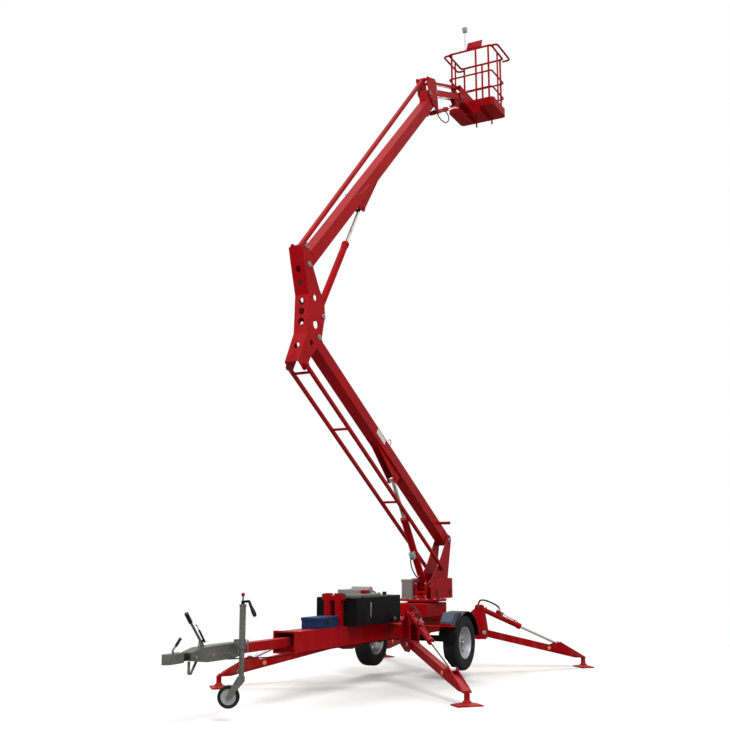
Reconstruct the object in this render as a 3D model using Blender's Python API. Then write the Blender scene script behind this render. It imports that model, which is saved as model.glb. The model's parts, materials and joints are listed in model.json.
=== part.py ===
"""Towable articulated boom lift standing on its four outriggers, booms raised.

Metres. +X points to the drawbar, +Y to the trailer's left, +Z up, floor at Z = 0.
Stations along the trailer are measured from the middle of the four feet, and
FRAME_SHIFT then moves the whole machine so that X = 0 is the middle of its length.
"""
import math

import bmesh
import bpy
from mathutils import Matrix, Vector

# Clearances
SEAT = 0.0003
PIN_PLAY = 0.0004
SIDE_PLAY = 0.006
EMBED = 0.004
PIN_SIDES = 8
BARREL_SIDES = 10
ROD_SIDES = 8
EYE_SIDES = 9
PIN_HEAD = 0.012
HALF_STEP = math.pi / PIN_SIDES

# Chassis beam and cross members
BEAM_REAR = -1.12
BEAM_FRONT = 3.06
BEAM_BOTTOM = 0.52
BEAM_TOP = 0.72
BEAM_HALF = 0.12
BEAM_WALL = 0.008
SHELF_X = (0.385, 0.485)
SHELF_TOP = 0.645
SHELF_THICK = 0.008
SHELF_END = 0.70
CHOCK_Y = (0.53, 0.68)
CHOCK_TOP = 0.80
CHOCK_STEPS = 4
SOCKET_DEPTH = 0.60
COLLAR_LENGTH = 0.05
COLLAR_RIM = 0.008
CROSS_STATION = 0.93
CROSS_WIDTH = 0.16
CROSS_HALF = 0.40

# Drawbar and coupling
DRAWBAR_SIZE = 0.09
DRAWBAR_Z = 0.6225
DRAWBAR_FRONT = 4.05
DRAWBAR_REAR = 2.62
HOUSING_REAR = 3.88
HOUSING_FRONT = 4.60
HOUSING_TOP = 0.675
HOUSING_BOTTOM = 0.548
HOUSING_HALF = 0.058
HEAD_TIP = 4.90
HEAD_SHAFT = 0.026
HEAD_HALF = 0.042
BALL_SOCKET = 0.0255
LEVER_SET = 0.20
LEVER_LEAN = 0.22
LEVER_TIP_Z = 0.97
LEVER_X = HOUSING_FRONT - LEVER_SET

# Jockey wheel
JOCKEY_X = 3.96
JOCKEY_Y = 0.125
JOCKEY_SWIVEL = math.radians(-62)
JOCKEY_OUTER = 0.0285
JOCKEY_INNER = 0.0238
JOCKEY_TUBE_BOTTOM = 0.63
JOCKEY_TUBE_TOP = 1.01
JOCKEY_INNER_TOP = 0.82
JOCKEY_INNER_BOTTOM = 0.395
JOCKEY_TRAIL = 0.11
JOCKEY_WHEEL_RADIUS = 0.10
JOCKEY_WHEEL_WIDTH = 0.05
JOCKEY_WHEEL_Z = 0.22
JOCKEY_FORK_PLATE = 0.005
JOCKEY_AXLE = 0.008
JOCKEY_SIDES = 12
TUBE_SIDES = 12
SPINDLE = 0.010

# Axle and road wheels
AXLE_X = 0.07
ARM_LEAD = 0.15
AXLE_Z = 0.434
AXLE_TUBE = 0.068
WHEEL_Y = 0.60
TYRE_RADIUS = 0.325
TYRE_HALF = 0.092
RIM_RADIUS = 0.188
HUB_RADIUS = 0.062
STUB_RADIUS = 0.02
BRAKE_ROD = 0.006
WHEEL_HOLES = 6
WHEEL_SIDES = 18
GUARD_GAP = 0.04
GUARD_THICK = 0.006
GUARD_HALF = 0.115

# Outriggers, in each leg's own upright plane: distance out, height above the hinge
HINGE_X = 1.07
HINGE_Y = 0.45
HINGE_Z = 0.48
LEG_HEADING = math.radians(47)
LEG_FOOT = 1.44
LEG_WIDTH = 0.08
LEG_DEPTH = 0.09
LEG_FALL = 0.335
LEG_EYE = (1.09, -0.175)
LEG_BASE = (-0.03, 0.31)
LEG_BARREL = 0.62
LEG_BARREL_RADIUS = 0.034
LEG_ROD_RADIUS = 0.0165
LEG_CHEEK = 0.008
BRACKET_PLATE = 0.012
PAD_ACROSS = 0.28
PAD_ALONG = 0.18
PAD_EDGE = 0.012
PAD_RISE = 0.03
BALL_RADIUS = 0.03

# Tank, engine, battery box and boom rest on the beam
TANK_X = (0.96, 2.03)
TANK_HALF = 0.25
TANK_TOP = 1.02
ENGINE_X = (1.30, 1.80)
ENGINE_HALF = 0.17
ENGINE_TOP = 1.095
BATTERY_X = (2.16, 2.58)
BATTERY_HALF = 0.10
BATTERY_TOP = 0.83
POST_X = 2.085
POST_HALF = 0.035
POST_TOP = 1.06

# Turntable
SLEW_X = -0.20
BLOCK_LENGTH = 0.62
BLOCK_HALF = 0.21
BLOCK_TOP = 0.885
RING_RADIUS = 0.20
RING_TOP = 0.905
TABLE_RADIUS = 0.30
TABLE_TOP = 0.93
PEDESTAL_INNER = 0.076
PEDESTAL_PLATE = 0.012
PEDESTAL_BACK = -0.53
PEDESTAL_FRONT = 0.06
PEDESTAL_SHOULDER = 1.10
FRONT_PLATE_TOP = 1.165
NOTCH_HALF = 0.055
NOTCH_BOTTOM = 1.03
NECK_X = (-0.50, -0.44)
NECK_TOP = 1.24
COVER_HALF = 0.19
COVER_FRONT = -0.02
COVER_BACK = -0.67
COVER_TOP = 1.18
COVER_WALL = 0.005
CONTROL_X = (-0.245, -0.08)
CONTROL_Y = (-0.245, -0.1025)
CONTROL_TOP = 1.17

# Boom pins, as station and height
LOWER_PIN = (-0.86, 1.67)
LOWER_HEAD = (2.59, 3.77)
LEVEL_OFFSET = (0.29, -0.36)
LIFT_BASE = (-0.24, 1.08)
LIFT_EYE = (0.66, 2.39)
ELBOW_TO_UPPER = (0.22, 0.76)
ELBOW_TO_CYLINDER = (-0.08, 0.25)
ROD_OFFSET = (0.065, 0.185)
HEAD_TO_TIP = (-3.03, 4.15)
HEAD_TO_EYE = (-1.09, 1.83)
UPPER_TIP = (LOWER_HEAD[0] + HEAD_TO_TIP[0], LOWER_HEAD[1] + HEAD_TO_TIP[1])
UPPER_EYE = (LOWER_HEAD[0] + HEAD_TO_EYE[0], LOWER_HEAD[1] + HEAD_TO_EYE[1])
TIP_TO_JIB = (-0.22, 0.11)
TIP_TO_JIB_BASE = (-0.26, -0.18)
JIB_RUN = (-0.99, 0.36)
LINK_OFFSET = (0.04, 0.14)
JIB_EYE_BELOW = 0.14
JIB_EYE_ALONG = 0.97

# Slots for the rods' eyes: points along the arm and above the eye, and half gaps between the lugs
SLOT_PLAY = 0.0015
LUG_PLATE = 0.012
LIFT_GAP = 0.036
UPPER_GAP = 0.034
JIB_GAP = 0.026
LIFT_SLOT = ((-0.27, 0.05), (-0.14, 0.18), (0.0, 0.18), (0.09, 0.14), (0.10, 0.05))
UPPER_SLOT = ((-0.14, 0.045), (-0.12, 0.088), (-0.06, 0.125), (0.075, 0.125), (0.09, 0.045))
JIB_SLOT = (
    (-0.34, 0.08), (-0.33, 0.10), (-0.05, 0.132), (-0.005, 0.147),
    (0.036, 0.147), (0.052, 0.137), (0.061, 0.118), (0.059, 0.08),
)
LEG_SLOT = ((-0.075, -0.059), (0.03, -0.059), (0.03, 0.05), (-0.075, 0.05))

# Hoses, their ports and routes, in the frame of the body that carries them
HOSE_RADIUS = 0.008
HOSE_STEP = 0.042
PORT_RADIUS = 0.011
TIP_PORT = (0.12, -0.06)
TIP_PORT_END = 0.100
JIB_PORT = 0.20
JIB_PORT_END = 0.062
LIFT_PORT = 0.20
LIFT_PORT_END = 0.065
VALVE_ALONG = (0.47, 0.56)
VALVE_HALF = 0.03
VALVE_DEEP = 0.095
LEG_VALVE_ALONG = (0.24, 0.33)
LEG_VALVE_HALF = 0.028
LEG_VALVE_TOP = 0.072
TIP_ROUTE = (
    (0.12, -0.118, -0.06),
    (0.085, -0.135, -0.11),
    (0.07, -0.14, -0.20),
    (0.14, -0.14, -0.29),
    (0.27, -0.14, -0.315),
    (0.42, -0.138, -0.29),
    (0.54, -0.13, -0.21),
    (0.57, -0.12, -0.13),
    (0.52, -0.11, -0.088),
    (0.46, -0.098, -0.086),
)
LIFT_ROUTE = (
    (0.515, 0.0, -0.115),
    (0.475, 0.0, -0.152),
    (0.39, 0.0, -0.165),
    (0.29, 0.0, -0.14),
    (0.225, 0.0, -0.11),
)

# Boom sections
GLAND_LENGTH = 0.05
GLAND_RIM = 0.005
PIN_RADIUS = 0.02
RAM_PIN = 0.018
BOOM_HALF = 0.07
LOWER_HEIGHT = 0.14
LOWER_DROP = 0.04
UPPER_HEIGHT = 0.15
UPPER_DROP = 0.14
PEG_STATION = 0.345
PEG_REACH = 0.15
PEG_SIZE = 0.02
LUG_RUN = 0.80
LIFT_LUG_BACK = 0.10
UPPER_LUG_BACK = 0.08
JIB_LUG = (-0.16, 0.03)
LIFT_LUG_RADIUS = 0.058
UPPER_LUG_RADIUS = 0.055
JIB_LUG_RADIUS = 0.034
LEVEL_TUBE = 0.035
LEVEL_INNER = 0.094
RUNGS = (1.52, 2.96, 3.93)
RUNG_RADIUS = 0.015
ELBOW_INNER = 0.076
ELBOW_PLATE = 0.010
# The elbow's outline and holes, as (x, z) or z from its lower pin, then the radius and the sides
ELBOW_FRONT = ((0.41, -0.33), (0.24, 0.01), (0.22, 0.43), (0.32, 0.76), (0.365, 0.93))
ELBOW_BACK = ((0.0, 0.54), (-0.11, 0.42))
ELBOW_HEEL = ((-0.062, 0.0), (-0.045, -0.05), (0.17, -0.25))
ELBOW_SIDE_HOLES = ((0.087, 0.42, 0.036, 8), (0.07, 0.13, 0.05, 10), (0.150, -0.09, 0.034, 8))
ELBOW_FRONT_HOLES = ((0.36, 0.04), (0.25, 0.04), (0.14, 0.04), (0.56, 0.035), (0.70, 0.035), (-0.14, 0.035))
ELBOW_REACH = (0.15, 0.45)
ROD_TUBE = 0.044
LIFT_BARREL = 1.02
LIFT_BARREL_RADIUS = 0.046
LIFT_ROD_RADIUS = 0.024
UPPER_BARREL = 1.22
UPPER_BARREL_RADIUS = 0.041
UPPER_ROD_RADIUS = 0.021
JIB_HALF = 0.055
JIB_HEIGHT = 0.09
LINK_HEIGHT = 0.04
JIB_BARREL = 0.60
JIB_BARREL_RADIUS = 0.031
JIB_ROD_RADIUS = 0.015
HEAD_PLATE = 0.010

# Basket, with stations of its own floor
BASKET_NEAR = -2.19
BASKET_DEPTH = 0.58
BASKET_FAR = BASKET_NEAR - BASKET_DEPTH
BASKET_HALF = 0.385
BASKET_FLOOR = 8.44
FLOOR_THICK = 0.012
TOE_HEIGHT = 0.13
TOE_THICK = 0.004
BASKET_CORNER = 0.06
PEG_Y = (-0.167, 0.098)
PEG_INSET = 0.07
PEG_LENGTH = 0.10
PEG_RADIUS = 0.014
RAIL_TOP = 9.45
RAIL_MID = 9.02
RAIL_LOW = 8.75
RAIL_RADIUS = 0.0165
LOOP_OUT = 0.095
LAMP_TOP = 9.86

LOOP_SET = 0.02
RAIL_SIDES = 6
RAIL_INSET = TOE_THICK + RAIL_RADIUS + SEAT
REAR_END = BASKET_FAR + RAIL_INSET + LOOP_SET - LOOP_OUT - RAIL_RADIUS * math.cos(math.pi / RAIL_SIDES)

FRAME_SHIFT = -(HEAD_TIP + REAR_END) / 2

PAINTS = {
    "red": ((0.48, 0.008, 0.012), 0.0, 0.35),
    "zinc": ((0.42, 0.43, 0.44), 0.9, 0.45),
    "black": ((0.012, 0.012, 0.013), 0.0, 0.45),
    "rubber": ((0.015, 0.015, 0.015), 0.0, 0.85),
    "chrome": ((0.75, 0.76, 0.78), 1.0, 0.12),
    "silver": ((0.62, 0.63, 0.65), 0.6, 0.35),
    "grey": ((0.55, 0.55, 0.54), 0.0, 0.5),
    "blue": ((0.02, 0.08, 0.35), 0.0, 0.4),
}


def paint(name):
    material = bpy.data.materials.get(name) or bpy.data.materials.new(name)
    material.use_nodes = True
    colour, metallic, roughness = PAINTS[name]
    shader = material.node_tree.nodes["Principled BSDF"]
    shader.inputs["Base Color"].default_value = (*colour, 1.0)
    shader.inputs["Metallic"].default_value = metallic
    shader.inputs["Roughness"].default_value = roughness
    return material


# Shapes
def block(x, y, z, bevel=0.0):
    """A box between pairs of limits, its edges rounded by bevel."""
    shape = bmesh.new()
    middle = Vector([(a + b) / 2 for a, b in (x, y, z)])
    size = [b - a for a, b in (x, y, z)]
    bmesh.ops.create_cube(shape, size=1.0)
    place = Matrix.Translation(middle) @ Matrix.Diagonal((*size, 1.0))
    bmesh.ops.transform(shape, matrix=place, verts=shape.verts)
    if bevel:
        bmesh.ops.bevel(shape, geom=shape.edges[:], offset=bevel, segments=2, profile=0.5, affect="EDGES")
    return shape


def extruded(corners, along):
    """The closed solid that a flat ring of corners sweeps along a vector."""
    shape = bmesh.new()
    face = shape.faces.new([shape.verts.new(corner) for corner in corners])
    swept = bmesh.ops.extrude_face_region(shape, geom=[face])
    moved = [item for item in swept["geom"] if isinstance(item, bmesh.types.BMVert)]
    bmesh.ops.translate(shape, vec=along, verts=moved)
    bmesh.ops.recalc_face_normals(shape, faces=shape.faces)
    return shape


def plate(outline, y):
    """An upright plate: (x, z) corners, between two y limits."""
    return extruded([(px, y[0], pz) for px, pz in outline], (0, y[1] - y[0], 0))


def slab(outline, z):
    """A level plate: (x, y) corners, between two z limits."""
    return extruded([(px, py, z[0]) for px, py in outline], (0, 0, z[1] - z[0]))


def bar(start, end, radius, sides=12, end_radius=None):
    """A round bar or cone between two points."""
    start, end = Vector(start), Vector(end)
    shape = bmesh.new()
    tip = radius if end_radius is None else end_radius
    bmesh.ops.create_cone(
        shape, cap_ends=True, segments=sides, radius1=radius, radius2=tip, depth=(end - start).length
    )
    turn = (end - start).to_track_quat("Z", "Y").to_matrix().to_4x4()
    bmesh.ops.transform(shape, matrix=Matrix.Translation((start + end) / 2) @ turn, verts=shape.verts)
    return shape


def pin(x, z, radius, y, sides=PIN_SIDES):
    """A round bar across the machine."""
    return bar((x, y[0], z), (x, y[1], z), radius, sides)


def hole(radius, sides=PIN_SIDES):
    """The radius of a bore with so many facets in which a pin turns with its play all round."""
    return (radius + PIN_PLAY) / math.cos(math.pi / sides)


def bore(x, z, radius, phase=0.0):
    """The cutter of a bore across the machine, turned by phase so that the pin's edges meet its flats."""
    return moved(pin(0, 0, hole(radius), (-1, 1)), (x, 0, z), phase)


def tube(points, radius, sides=8, closed=False):
    """A round bar that follows points, mitred where it turns."""
    points = [Vector(point) for point in points]
    count = len(points)
    shape = bmesh.new()
    rings = []
    normal = None
    for index, point in enumerate(points):
        before = points[index - 1] if index or closed else None
        after = points[(index + 1) % count] if index < count - 1 or closed else None
        into = (point - before).normalized() if before is not None else (after - point).normalized()
        out = (after - point).normalized() if after is not None else into
        along = (into + out).normalized()
        if normal is None:
            helper = Vector((0, 0, 1)) if abs(along.z) < 0.9 else Vector((1, 0, 0))
            normal = helper.cross(along).normalized()
        normal = (normal - normal.dot(along) * along).normalized()
        side = along.cross(normal)
        stretch = 1.0 / max(0.3, along.dot(into))
        bend = out - into
        bend = bend.normalized() if bend.length > 1e-6 else None
        ring = []
        for step in range(sides):
            angle = 2 * math.pi * (step + 0.5) / sides
            offset = radius * (math.cos(angle) * normal + math.sin(angle) * side)
            if bend is not None:
                lean = bend - bend.dot(along) * along
                if lean.length > 1e-6:
                    lean.normalize()
                    offset += lean * offset.dot(lean) * (stretch - 1.0)
            ring.append(shape.verts.new(point + offset))
        rings.append(ring)
    pairs = list(zip(rings, rings[1:])) + ([(rings[-1], rings[0])] if closed else [])
    for lower, upper in pairs:
        for step in range(sides):
            nxt = (step + 1) % sides
            shape.faces.new((lower[step], lower[nxt], upper[nxt], upper[step]))
    if not closed:
        shape.faces.new(list(reversed(rings[0])))
        shape.faces.new(rings[-1])
    bmesh.ops.recalc_face_normals(shape, faces=shape.faces)
    return shape


def rounded(corners, radius, steps=3, closed=False):
    """The corners of a path with each inner corner replaced by an arc."""
    corners = [Vector(corner) for corner in corners]
    count = len(corners)
    path = []
    for index, corner in enumerate(corners):
        if not closed and index in (0, count - 1):
            path.append(corner)
            continue
        into = (corners[index - 1] - corner).normalized()
        out = (corners[(index + 1) % count] - corner).normalized()
        half = into.angle(out) / 2
        if half > math.radians(89.5):
            path.append(corner)
            continue
        reach = radius / math.tan(half)
        centre = corner + (into + out).normalized() * radius / math.sin(half)
        first, last = corner + into * reach - centre, corner + out * reach - centre
        for step in range(steps + 1):
            path.append(centre + first.normalized().slerp(last.normalized(), step / steps) * radius)
    return path


def arc(centre, radius, start, end, steps):
    """(x, z) points on an arc, angles in degrees."""
    angles = [math.radians(start + (end - start) * step / steps) for step in range(steps + 1)]
    return [(centre[0] + radius * math.cos(a), centre[1] + radius * math.sin(a)) for a in angles]


def turned(profile, sides):
    """A ring about the Y axis from a closed (radius, y) profile."""
    shape = bmesh.new()
    rows = []
    for step in range(sides):
        angle = 2 * math.pi * step / sides
        rows.append([shape.verts.new((r * math.cos(angle), y, r * math.sin(angle))) for r, y in profile])
    for index, row in enumerate(rows):
        after = rows[(index + 1) % sides]
        for place in range(len(profile)):
            nxt = (place + 1) % len(profile)
            shape.faces.new((row[place], row[nxt], after[nxt], after[place]))
    bmesh.ops.recalc_face_normals(shape, faces=shape.faces)
    return shape


def moved(shape, offset=(0, 0, 0), turn=0.0, axis="Y"):
    """The shape turned about an axis through the origin, then shifted."""
    matrix = Matrix.Translation(offset) @ Matrix.Rotation(turn, 4, axis)
    bmesh.ops.transform(shape, matrix=matrix, verts=shape.verts)
    return shape


def smooth_route(points, step):
    """The two ends, and between them points an equal step apart on a smooth curve through the inner ones."""
    points = [Vector(point) for point in points]
    fine = []
    for before, start, end, after in zip(points, points[1:], points[2:], points[3:]):
        for part in range(20):
            t = part / 20
            square = 2 * before - 5 * start + 4 * end - after
            cube = 3 * start - before - 3 * end + after
            fine.append(start + ((end - before) * t + square * t**2 + cube * t**3) / 2)
    fine.append(points[-2])
    spans = [(b - a).length for a, b in zip(fine, fine[1:])]
    count = max(2, round(sum(spans) / step))
    route, walked, index = [fine[0]], 0.0, 0
    for number in range(1, count):
        target = sum(spans) * number / count
        while walked + spans[index] < target:
            walked += spans[index]
            index += 1
        route.append(fine[index].lerp(fine[index + 1], (target - walked) / spans[index]))
    return [points[0], *route, fine[-1], points[-1]]


# Bodies and their solids
def mesh_of(shape):
    mesh = bpy.data.meshes.new("shape")
    shape.to_mesh(mesh)
    return mesh


def body(name, place, elevation=0.0, heading=0.0):
    """An empty on a joint's axis: local X runs out along the moving piece, local Z up from it."""
    empty = bpy.data.objects.new("body_" + name, None)
    empty.location = (place[0] + FRAME_SHIFT, place[1], place[2])
    empty.rotation_euler = (0, -elevation, heading)
    bpy.context.collection.objects.link(empty)
    return empty


def combine(target, shapes, operation):
    """Unites the shapes with the target's mesh, or takes them out of it."""
    helpers = bpy.data.collections.new("helpers")
    bpy.context.scene.collection.children.link(helpers)
    for shape in shapes:
        helpers.objects.link(bpy.data.objects.new("helper", mesh_of(shape)))
    change = target.modifiers.new("change", "BOOLEAN")
    change.operation = operation
    change.operand_type = "COLLECTION"
    change.collection = helpers
    bpy.context.view_layer.update()
    graph = bpy.context.evaluated_depsgraph_get()
    result = bpy.data.meshes.new_from_object(target.evaluated_get(graph))
    target.modifiers.clear()
    target.data = result
    for helper in list(helpers.objects):
        bpy.data.objects.remove(helper)
    bpy.data.collections.remove(helpers)


def solid(name, host, finish, adds, cuts=()):
    """One closed solid: the shapes joined, then the cuts taken out of them."""
    node = bpy.data.objects.new(name, mesh_of(adds[0]))
    bpy.context.collection.objects.link(node)
    if len(adds) > 1:
        combine(node, adds[1:], "UNION")
    if cuts:
        combine(node, cuts, "DIFFERENCE")
    node.data.name = name
    node.data.materials.clear()
    node.data.materials.append(paint(finish))
    node.data.shade_smooth()
    node.data.set_sharp_from_angle(angle=math.radians(35))
    node.parent = host
    return node


def hose(name, host, route):
    """A hose that hangs free between two ports, as a round tube along its route."""
    curve = bpy.data.curves.new(name, "CURVE")
    curve.dimensions = "3D"
    curve.bevel_depth = HOSE_RADIUS
    curve.bevel_resolution = 2
    curve.use_fill_caps = True
    line = smooth_route(route, HOSE_STEP)
    spline = curve.splines.new("POLY")
    spline.points.add(len(line) - 1)
    for point, place in zip(spline.points, line):
        point.co = (*place, 1.0)
    curve.materials.append(paint("rubber"))
    node = bpy.data.objects.new(name, curve)
    bpy.context.collection.objects.link(node)
    node.parent = host
    return node


def heading_of(start, end):
    """Elevation and length of the line between two (x, z) points, seen along it to front or rear."""
    run, rise = end[0] - start[0], end[1] - start[1]
    return math.atan2(rise, abs(run)), math.hypot(run, rise)


def plus(point, offset):
    return (point[0] + offset[0], point[1] + offset[1])


def along_line(start, end, point):
    """A point's place in the frame of a line: distance along it, height above it."""
    elevation, _ = heading_of(start, end)
    run, rise = abs(point[0] - start[0]), point[1] - start[1]
    if (point[0] - start[0]) * (end[0] - start[0]) < 0:
        run = -run
    return (
        run * math.cos(elevation) + rise * math.sin(elevation),
        rise * math.cos(elevation) - run * math.sin(elevation),
    )


def ram(name, base, length, heading, elevation, sizes, end_plates, ports):
    """A hydraulic cylinder as two bodies, barrel and rod, both drawn from the base pin.

    sizes: barrel length, barrel radius, rod radius, eye half width, rod reach into the barrel.
    end_plates: half gap of the cheeks that hold the rod's eye.
    ports: shapes on the barrel that its hoses and pipes screw into.
    """
    barrel_length, barrel_radius, rod_radius, eye_half, reach = sizes
    eye = barrel_radius * 1.05
    barrel_body = body(name + "_barrel", base, elevation, heading)
    solid(
        name + "_barrel",
        barrel_body,
        "red",
        [
            bar((eye * 0.5, 0, 0), (barrel_length, 0, 0), barrel_radius, BARREL_SIDES),
            bar(
                (barrel_length - GLAND_LENGTH, 0, 0),
                (barrel_length + 0.002, 0, 0),
                barrel_radius + GLAND_RIM,
                BARREL_SIDES,
            ),
            pin(0, 0, eye, (-eye_half, eye_half), EYE_SIDES),
            *ports,
        ],
        [
            bore(0, 0, RAM_PIN),
            bar((eye + 0.008, 0, 0), (barrel_length + 0.02, 0, 0), rod_radius + PIN_PLAY, ROD_SIDES),
        ],
    )
    rod_body = body(name + "_rod", base, elevation, heading)
    rod_eye = rod_radius * 1.7
    eye_reach = end_plates - SEAT
    solid(
        name + "_rod",
        rod_body,
        "chrome",
        [
            bar((barrel_length - reach, 0, 0), (length, 0, 0), rod_radius, ROD_SIDES),
            pin(length, 0, rod_eye, (-eye_reach, eye_reach), EYE_SIDES),
        ],
    )
    return barrel_body


# Chassis
def build_frame(root):
    beam = (BEAM_REAR, BEAM_FRONT), (-BEAM_HALF, BEAM_HALF), (BEAM_BOTTOM, BEAM_TOP)
    adds = [block(*beam)]
    rim = BEAM_HALF + COLLAR_RIM
    adds.append(
        block(
            (BEAM_FRONT - COLLAR_LENGTH, BEAM_FRONT + EMBED),
            (-rim, rim),
            (BEAM_BOTTOM - COLLAR_RIM, BEAM_TOP + COLLAR_RIM),
        )
    )
    for sign in (1, -1):
        station = sign * CROSS_STATION
        adds.append(
            block(
                (station - CROSS_WIDTH / 2, station + CROSS_WIDTH / 2),
                (-CROSS_HALF, CROSS_HALF),
                (BEAM_BOTTOM + 0.01, BEAM_TOP - 0.03),
            )
        )
    for front in (1, -1):
        for left in (1, -1):
            adds += outrigger_bracket(front, left)
    adds.append(block(SHELF_X, (BEAM_HALF - EMBED, SHELF_END), (SHELF_TOP - SHELF_THICK, SHELF_TOP)))
    adds.append(
        plate(
            [
                (SHELF_X[1] - SHELF_THICK, SHELF_TOP - SHELF_THICK),
                (SHELF_X[1] - 0.002, SHELF_TOP - SHELF_THICK),
                (SHELF_X[1] - 0.002, SHELF_TOP + 0.03),
                (SHELF_X[1] - SHELF_THICK, SHELF_TOP + 0.03),
            ],
            (CHOCK_Y[0], CHOCK_Y[1]),
        )
    )
    inner = BEAM_HALF - BEAM_WALL
    cuts = [
        block(
            (BEAM_FRONT - SOCKET_DEPTH, BEAM_FRONT + 0.1),
            (-inner, inner),
            (BEAM_BOTTOM + BEAM_WALL, BEAM_TOP - BEAM_WALL),
        )
    ]
    solid("chassis_frame", root, "red", adds, cuts)


def build_chock(root):
    """The wheel chock stowed on its shelf, its hollow side against the mudguard's round."""
    guard = TYRE_RADIUS + GUARD_GAP + GUARD_THICK + SEAT
    front = SHELF_X[1] - SHELF_THICK - SEAT
    low = SHELF_TOP + SEAT
    clear = guard / math.cos(math.pi / 4 / CHOCK_STEPS)
    first, last = [math.degrees(math.asin((height - AXLE_Z) / clear)) for height in (low, CHOCK_TOP)]
    outline = arc((AXLE_X, AXLE_Z), clear, first, last, CHOCK_STEPS)
    outline += [(front - 0.10, CHOCK_TOP), (front, low + 0.05), (front, low)]
    solid("wheel_chock", root, "grey", [plate(outline, CHOCK_Y)])


def leg_turn(front, left):
    return math.atan2(left * math.sin(LEG_HEADING), front * math.cos(LEG_HEADING))


def outrigger_bracket(front, left):
    """The two upright plates at a chassis corner, with the leg's hinge pin and the cylinder's base pin."""
    inner = LEG_WIDTH / 2 + SIDE_PLAY
    outer = inner + BRACKET_PLATE
    outline = [(-0.24, -0.02), (-0.10, -0.085), (0.03, -0.085), (0.075, -0.03), (0.06, 0.06)]
    outline += arc(LEG_BASE, 0.05, -10, 190, 4)
    outline += [(-0.24, 0.18)]
    shapes = [plate(outline, (inner, outer)), plate(outline, (-outer, -inner))]
    shapes.append(pin(0, 0, PIN_RADIUS, (-outer - PIN_HEAD, outer + PIN_HEAD)))
    shapes.append(pin(LEG_BASE[0], LEG_BASE[1], RAM_PIN, (-outer - PIN_HEAD, outer + PIN_HEAD)))
    shapes.append(block((-0.25, -0.14), (-outer + 0.001, outer - 0.001), (0.0, 0.17)))
    turn = leg_turn(front, left)
    place = (front * HINGE_X, left * HINGE_Y, HINGE_Z)
    return [moved(shape, place, turn, "Z") for shape in shapes]


def build_drawbar(root):
    half = DRAWBAR_SIZE / 2
    solid(
        "drawbar",
        root,
        "red",
        [
            block(
                (DRAWBAR_REAR, DRAWBAR_FRONT),
                (-half, half),
                (DRAWBAR_Z - half, DRAWBAR_Z + half),
                0.006,
            ),
            block(
                (BEAM_FRONT - 0.30, BEAM_FRONT - 0.06),
                (-BEAM_HALF + BEAM_WALL + SEAT, BEAM_HALF - BEAM_WALL - SEAT),
                (BEAM_BOTTOM + BEAM_WALL + SEAT, DRAWBAR_Z - half + EMBED),
            ),
        ],
    )
    grip = half + SEAT
    flange = HOUSING_HALF
    solid(
        "overrun_housing",
        root,
        "zinc",
        [
            plate(
                [
                    (HOUSING_REAR, HOUSING_BOTTOM + 0.02),
                    (HOUSING_REAR + 0.10, HOUSING_BOTTOM),
                    (HOUSING_FRONT - 0.22, HOUSING_BOTTOM),
                    (HOUSING_FRONT, HOUSING_BOTTOM + 0.03),
                    (HOUSING_FRONT, HOUSING_TOP - 0.03),
                    (HOUSING_FRONT - 0.14, HOUSING_TOP),
                    (HOUSING_REAR + 0.30, HOUSING_TOP + 0.008),
                    (HOUSING_REAR, HOUSING_TOP + 0.008),
                ],
                (-flange, flange),
            ),
            plate(
                [
                    (LEVER_X - 0.05, HOUSING_TOP - 0.01),
                    (LEVER_X + 0.05, HOUSING_TOP - 0.01),
                    (LEVER_X + 0.02, HOUSING_TOP + 0.03),
                    (LEVER_X - 0.02, HOUSING_TOP + 0.03),
                ],
                (-0.012, 0.012),
            ),
            tube(
                [
                    (4.56, 0, HOUSING_BOTTOM + 0.02),
                    (4.56, 0, 0.47),
                    (4.53, 0, 0.466),
                    (4.46, 0, HOUSING_BOTTOM + 0.01),
                ],
                0.012,
                6,
            ),
        ],
        [
            block(
                (HOUSING_REAR - 0.1, DRAWBAR_FRONT + SEAT),
                (-grip, grip),
                (HOUSING_BOTTOM - 0.1, DRAWBAR_Z + grip),
            )
        ],
    )


def build_coupling(root):
    shaft_z = (HOUSING_TOP + HOUSING_BOTTOM) / 2
    neck = HOUSING_FRONT + 0.06
    nose = [
        (neck, -HEAD_SHAFT),
        (neck + 0.10, -HEAD_HALF),
        *arc((HEAD_TIP - HEAD_HALF, 0), HEAD_HALF, -90, 90, 6),
        (neck + 0.10, HEAD_HALF),
        (neck, HEAD_SHAFT),
    ]
    ball_x = HEAD_TIP - HEAD_HALF - 0.005
    handle = [(4.77, 0, shaft_z + 0.03), (4.79, 0, 0.672), (4.73, 0, 0.72), (4.685, 0, 0.765)]
    solid(
        "coupling_head",
        root,
        "zinc",
        [
            bar((HOUSING_FRONT + SEAT, 0, shaft_z), (neck + 0.05, 0, shaft_z), HEAD_SHAFT, 14),
            slab(nose, (shaft_z - 0.045, shaft_z + 0.038)),
            tube(rounded(handle, 0.02, 2), 0.009, 6),
        ],
        [
            bar((ball_x, 0, shaft_z - 0.1), (ball_x, 0, shaft_z + 0.012), BALL_SOCKET, 16),
        ],
    )
    low = Vector((LEVER_X, 0, HOUSING_TOP + 0.03 + SEAT))
    high = Vector((LEVER_X + LEVER_LEAN, 0, LEVER_TIP_Z))
    slope = (high - low).normalized()
    grip = high - slope * 0.11
    solid(
        "handbrake_lever",
        root,
        "zinc",
        [
            block((low.x - 0.02, low.x + 0.02), (-0.012, 0.012), (low.z, low.z + 0.03)),
            bar(low + Vector((0, 0, 0.014)), grip + slope * 0.01, 0.011, 8),
            bar(grip, high, 0.016, 8),
        ],
    )


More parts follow.
